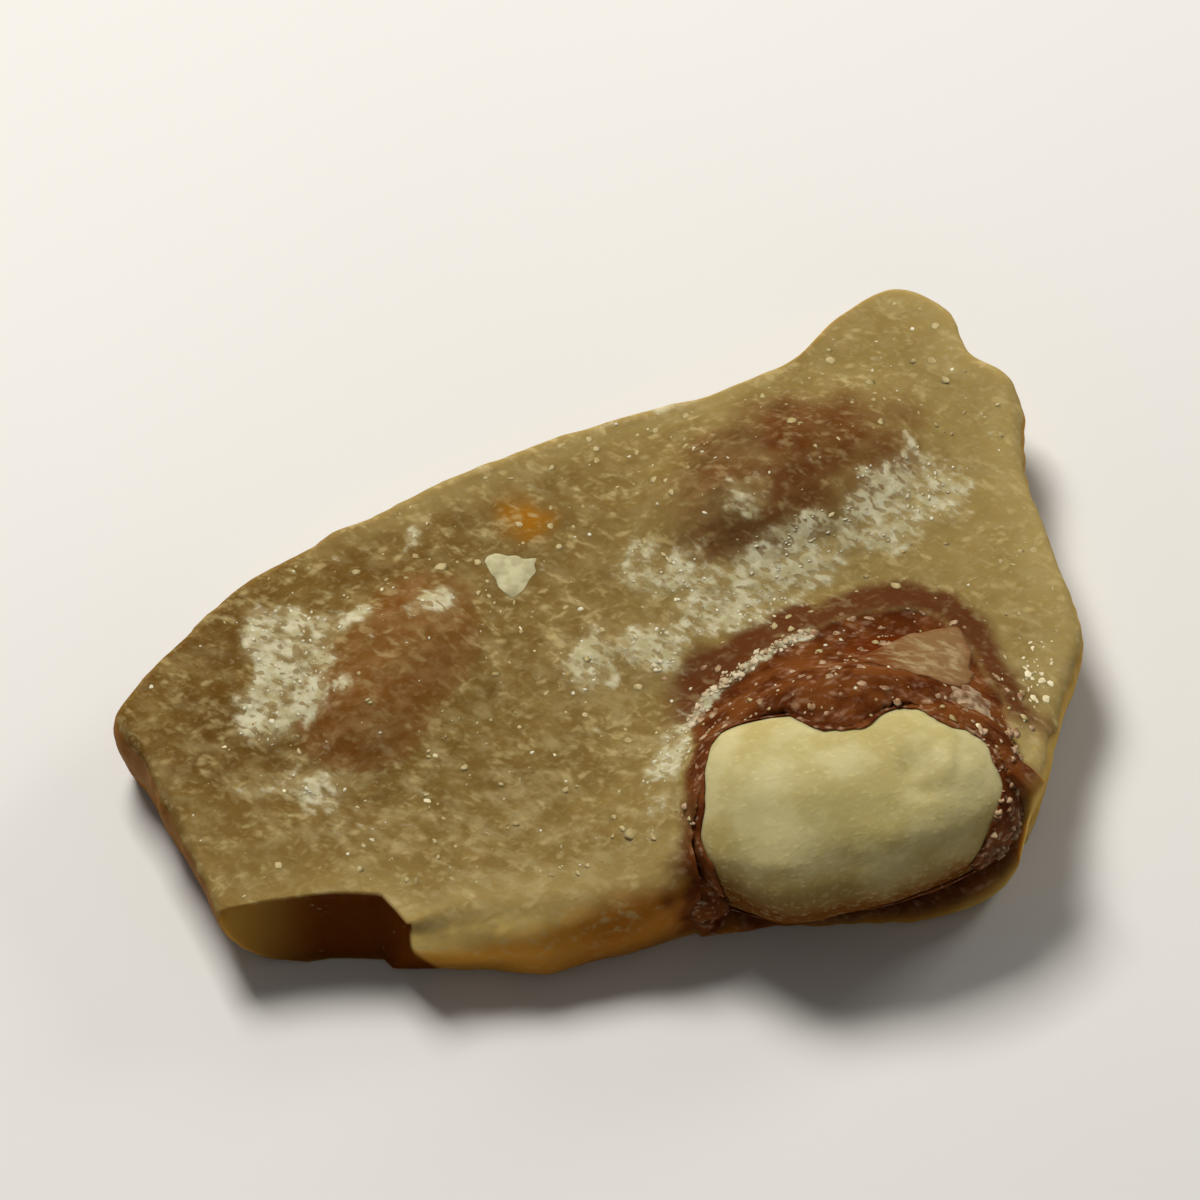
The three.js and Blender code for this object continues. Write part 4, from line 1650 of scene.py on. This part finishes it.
def powder_on(tree, place, colour):
    """A thin veil of powder, and white heaps where it lies thickly. Also gives the heaps."""
    powder = use_group(tree, powder_edge, Place=place, Cover=mask_of(tree, "powder"))
    white = powder.outputs["White"]
    veil = times(tree, powder.outputs["Veil"], 0.26)
    colour = blend(tree, veil, colour, paint(162, 148, 108))
    blotches = ramp(tree, mottle(tree, place, 0.7, 3), 0.35, 0.65)
    heap = blend(tree, blotches, paint(168, 160, 124), paint(194, 189, 161))
    return blend(tree, times(tree, white, 0.86), colour, heap), white


# %% [markdown]
# The layers are now put together. The candy's shine is a weak coat on the clear sides only, for
# dust kills the shine of the rest, and a fine relief of grains breaks up the light.


# %% Candy
def candy_material():
    """The layers of the candy, its roughness and coat, its inner light and its fine relief."""
    tree, shader = new_material("dusted_candy")
    place = own_places(tree)
    grain = use_group(tree, sugar_grain, Place=place, Size=0.55, Share=0.06)
    fine = use_group(tree, sugar_grain, Place=place, Size=0.34, Share=0.08)
    pale = mottle(tree, place, 1.7, 5, 0.65)

    colour = candy_ground(tree, place, pale)
    colour = kernel_shades(tree, place, pale, colour)
    colour, clear = side_shades(tree, place, pale, colour)
    colour = skin_on(tree, place, colour)

    strength = speck_strength(tree, place, clear)
    cream = blend(tree, mask_of(tree, "skin"), paint(178, 162, 114), paint(180, 148, 116))
    colour = blend(tree, times(tree, grain.outputs["Specks"], strength), colour, cream)
    colour = blend(tree, times(tree, fine.outputs["Specks"], strength, 0.45), colour, cream)
    colour, white = powder_on(tree, place, colour)
    join(tree, colour, shader.inputs["Base Color"])

    stuck = maths(tree, "MAXIMUM", mask_of(tree, "chip"), mask_of(tree, "skin"))
    clear = maths(tree, "SUBTRACT", clear, stuck, clamp=True)
    rough = maths(tree, "ADD", ramp(tree, clear, 0, 1, 0.55, 0.35), times(tree, white, 0.4))
    join(tree, rough, shader.inputs["Roughness"])
    join(tree, times(tree, clear, 0.1), shader.inputs["Coat Weight"])
    shader.inputs["Coat Roughness"].default_value = 0.16
    shader.inputs["Specular IOR Level"].default_value = 0
    scatter_light(shader, weight=0.6, radius=(1.3, 0.75, 0.3), scale_mm=0.8)

    height = maths(tree, "ADD", grain.outputs["Height"], times(tree, fine.outputs["Height"], 0.4))
    height = maths(tree, "ADD", height, times(tree, white, 0.5))
    height = times(tree, height, ramp(tree, clear, 0, 1, 1.0, 0.6))
    join(tree, bump(tree, height, 0.05), shader.inputs["Normal"])


candy_material()
assign(candy, "dusted_candy")

# %% [markdown]
# ## Kernel and skin
# Roasted kernel flesh is cream and waxy, yellower and browner low down, partly where the candy
# stains it and partly as painted shade on its lower side, which is turned from the light. This
# could be painted on by hand, but a kernel that stands in syrup is stained by height, and its
# shade goes by height too, so the height does it, with a little noise to keep the line from
# running level.


# %% Kernel flesh
def flesh_material():
    """Cream above, amber below and brown at the foot (stain and painted shade), with a weak waxy
    coat.
    """
    tree, shader = new_material("kernel_flesh")
    place = own_places(tree)
    grain = use_group(tree, sugar_grain, Place=place, Size=0.3, Share=0.3)
    tone = mottle(tree, place, 2.6, 3)
    height = maths(tree, "ADD", axes_of(tree, place)[2], times(tree, tone, 1.2 * MM))
    blotches = ramp(tree, tone, 0.4, 0.65)
    colour = blend(tree, blotches, paint(166, 153, 100), paint(180, 170, 124))
    # stain and painted shade: amber low down on the kernel, and brown at its foot
    colour = blend(tree, along(tree, height, 3.6, 10.0, 1.0, 0.0), colour, paint(138, 103, 22))
    colour = blend(tree, along(tree, height, 5.6, 8.2, 0.95, 0.0), colour, paint(90, 48, 3))
    specks = times(tree, grain.outputs["Specks"], 0.2)
    colour = blend(tree, specks, colour, paint(210, 200, 150))
    join(tree, colour, shader.inputs["Base Color"])
    shader.inputs["Roughness"].default_value = 0.5
    shader.inputs["Specular IOR Level"].default_value = 0
    shader.inputs["Coat Weight"].default_value = 0.12
    shader.inputs["Coat Roughness"].default_value = 0.42
    scatter_light(shader, weight=0.4, radius=(1.0, 0.7, 0.35), scale_mm=0.8)
    join(tree, bump(tree, grain.outputs["Height"], 0.03), shader.inputs["Normal"])


flesh_material()
assign(kernel_bare, "kernel_flesh")

# %% [markdown]
# The skin is dry and papery, a deep red brown, with pinkish sugar caught in its wrinkles. Thin
# as it is, it lets a little red light through.


# %% Skin
def skin_material():
    """Papery skin: two reds in soft blotches, with sugar specks over them."""
    tree, shader = new_material("peanut_skin")
    place = own_places(tree)
    grain = use_group(tree, sugar_grain, Place=place, Size=0.42, Share=0.16)
    blotches = ramp(tree, mottle(tree, place, 1.5, 4), 0.36, 0.64)
    colour = blend(tree, blotches, paint(74, 32, 10), paint(104, 58, 24))
    specks = times(tree, grain.outputs["Specks"], 0.6)
    colour = blend(tree, specks, colour, paint(180, 150, 120))
    join(tree, colour, shader.inputs["Base Color"])
    shader.inputs["Roughness"].default_value = 0.55
    shader.inputs["Specular IOR Level"].default_value = 0.02
    scatter_light(shader, weight=0.2, radius=(0.8, 0.25, 0.08), scale_mm=0.5)
    join(tree, bump(tree, grain.outputs["Height"], 0.05), shader.inputs["Normal"])


skin_material()
for piece in (kernel_left, kernel_back, skin_torn, roll_piece):
    assign(piece, "peanut_skin")

# %% [markdown]
# The flake is red at its left corner and pale and dusty towards its right edge, with a red
# brown rim where the dust has rubbed off.


# %% Flake of skin
def flake_material():
    """Red at the left and pale at the right, on a ragged line, with dust and a bare rim."""
    tree, shader = new_material("flake_skin")
    place = own_places(tree)
    tone = mottle(tree, drawn_out(tree, place, -20, 1.6), 0.6, 4, 0.65)
    ragged = maths(tree, "ADD", axes_of(tree, place)[0], times(tree, tone, 2.4 * MM))
    pale = along(tree, ragged, 14, 17)
    colour = blend(tree, pale, paint(98, 48, 16), paint(122, 92, 58))
    dusty = times(tree, ramp(tree, tone, 0.44, 0.66, 0, 0.8), ramp(tree, pale, 0, 1, 0.35, 1.0))
    colour = blend(tree, dusty, colour, paint(158, 138, 102))
    rim = maths(tree, "ADD", mask_of(tree, "rim"), times(tree, tone, 0.6))
    colour = blend(tree, ramp(tree, rim, 1.05, 1.4, 0, 0.7), colour, paint(110, 64, 32))
    join(tree, colour, shader.inputs["Base Color"])
    shader.inputs["Roughness"].default_value = 0.7
    shader.inputs["Specular IOR Level"].default_value = 0.02
    join(tree, bump(tree, tone, 0.06), shader.inputs["Normal"])


flake_material()
assign(flake_piece, "flake_skin")

# %% [markdown]
# Crumbs, dust and crystals are pale broken stuff: two tones in fine blotches, and a roughness.
# They are left without light inside them, for a grain half sunk in the candy would lose it to
# the dark below.


# %% Grains
def grain_material(name, dark, light, rough):
    """A pale crumbly stuff of two tones, given as they look on a screen."""
    tree, shader = new_material(name)
    blotches = ramp(tree, mottle(tree, own_places(tree), 0.5), 0.35, 0.65)
    join(tree, blend(tree, blotches, paint(*dark), paint(*light)), shader.inputs["Base Color"])
    shader.inputs["Roughness"].default_value = rough
    shader.inputs["Specular IOR Level"].default_value = 0.08


# piece, finish, darker and lighter tone, roughness
GRAIN_FINISHES = [
    (chip_piece, "white_nut", (162, 154, 118), (182, 176, 140), 0.7),
    (clod_piece, "dusty_skin", (112, 80, 54), (162, 140, 112), 0.7),
    (powder_piece, "white_powder", (184, 176, 144), (208, 202, 176), 0.85),
    (crumb_piece, "candy_crumb", (154, 136, 90), (178, 162, 118), 0.6),
    (skin_crumb_piece, "skin_crumb", (128, 94, 64), (180, 154, 122), 0.6),
    (crystal_piece, "sugar_crystal", (196, 182, 140), (222, 212, 178), 0.35),
    (bead_piece, "ridge_dust", (176, 156, 124), (202, 188, 158), 0.8),
]
for piece, name, dark, light, rough in GRAIN_FINISHES:
    grain_material(name, dark, light, rough)
    assign(piece, name)

# %% [markdown]
# ## Floor and root body
# The floor is a plain pale sheet, a little warm.


# %% Floor
FLOOR_HALF = 900


def pale_floor():
    """A flat sheet at the height on which the piece lies."""
    corners = FLOOR_HALF * np.array([[-1.0, -1, 0], [1, -1, 0], [1, 1, 0], [-1, 1, 0]])
    floor = new_piece("floor", corners, np.array([[0, 1, 2, 3]]))
    tree, shader = new_material("pale_floor")
    tone = mottle(tree, own_places(tree), 60)
    colour = blend(tree, tone, paint(206, 205, 203), paint(213, 212, 210))
    join(tree, colour, shader.inputs["Base Color"])
    shader.inputs["Roughness"].default_value = 0.8
    assign(floor, "pale_floor")


pale_floor()

# %% Ride on the root body
pieces = [
    candy, kernel_bare, kernel_left, kernel_back, skin_torn, roll_piece,
    chip_piece, flake_piece, clod_piece,
    powder_piece, crumb_piece, skin_crumb_piece, crystal_piece, bead_piece,
]
for piece in pieces:
    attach(piece, "root")
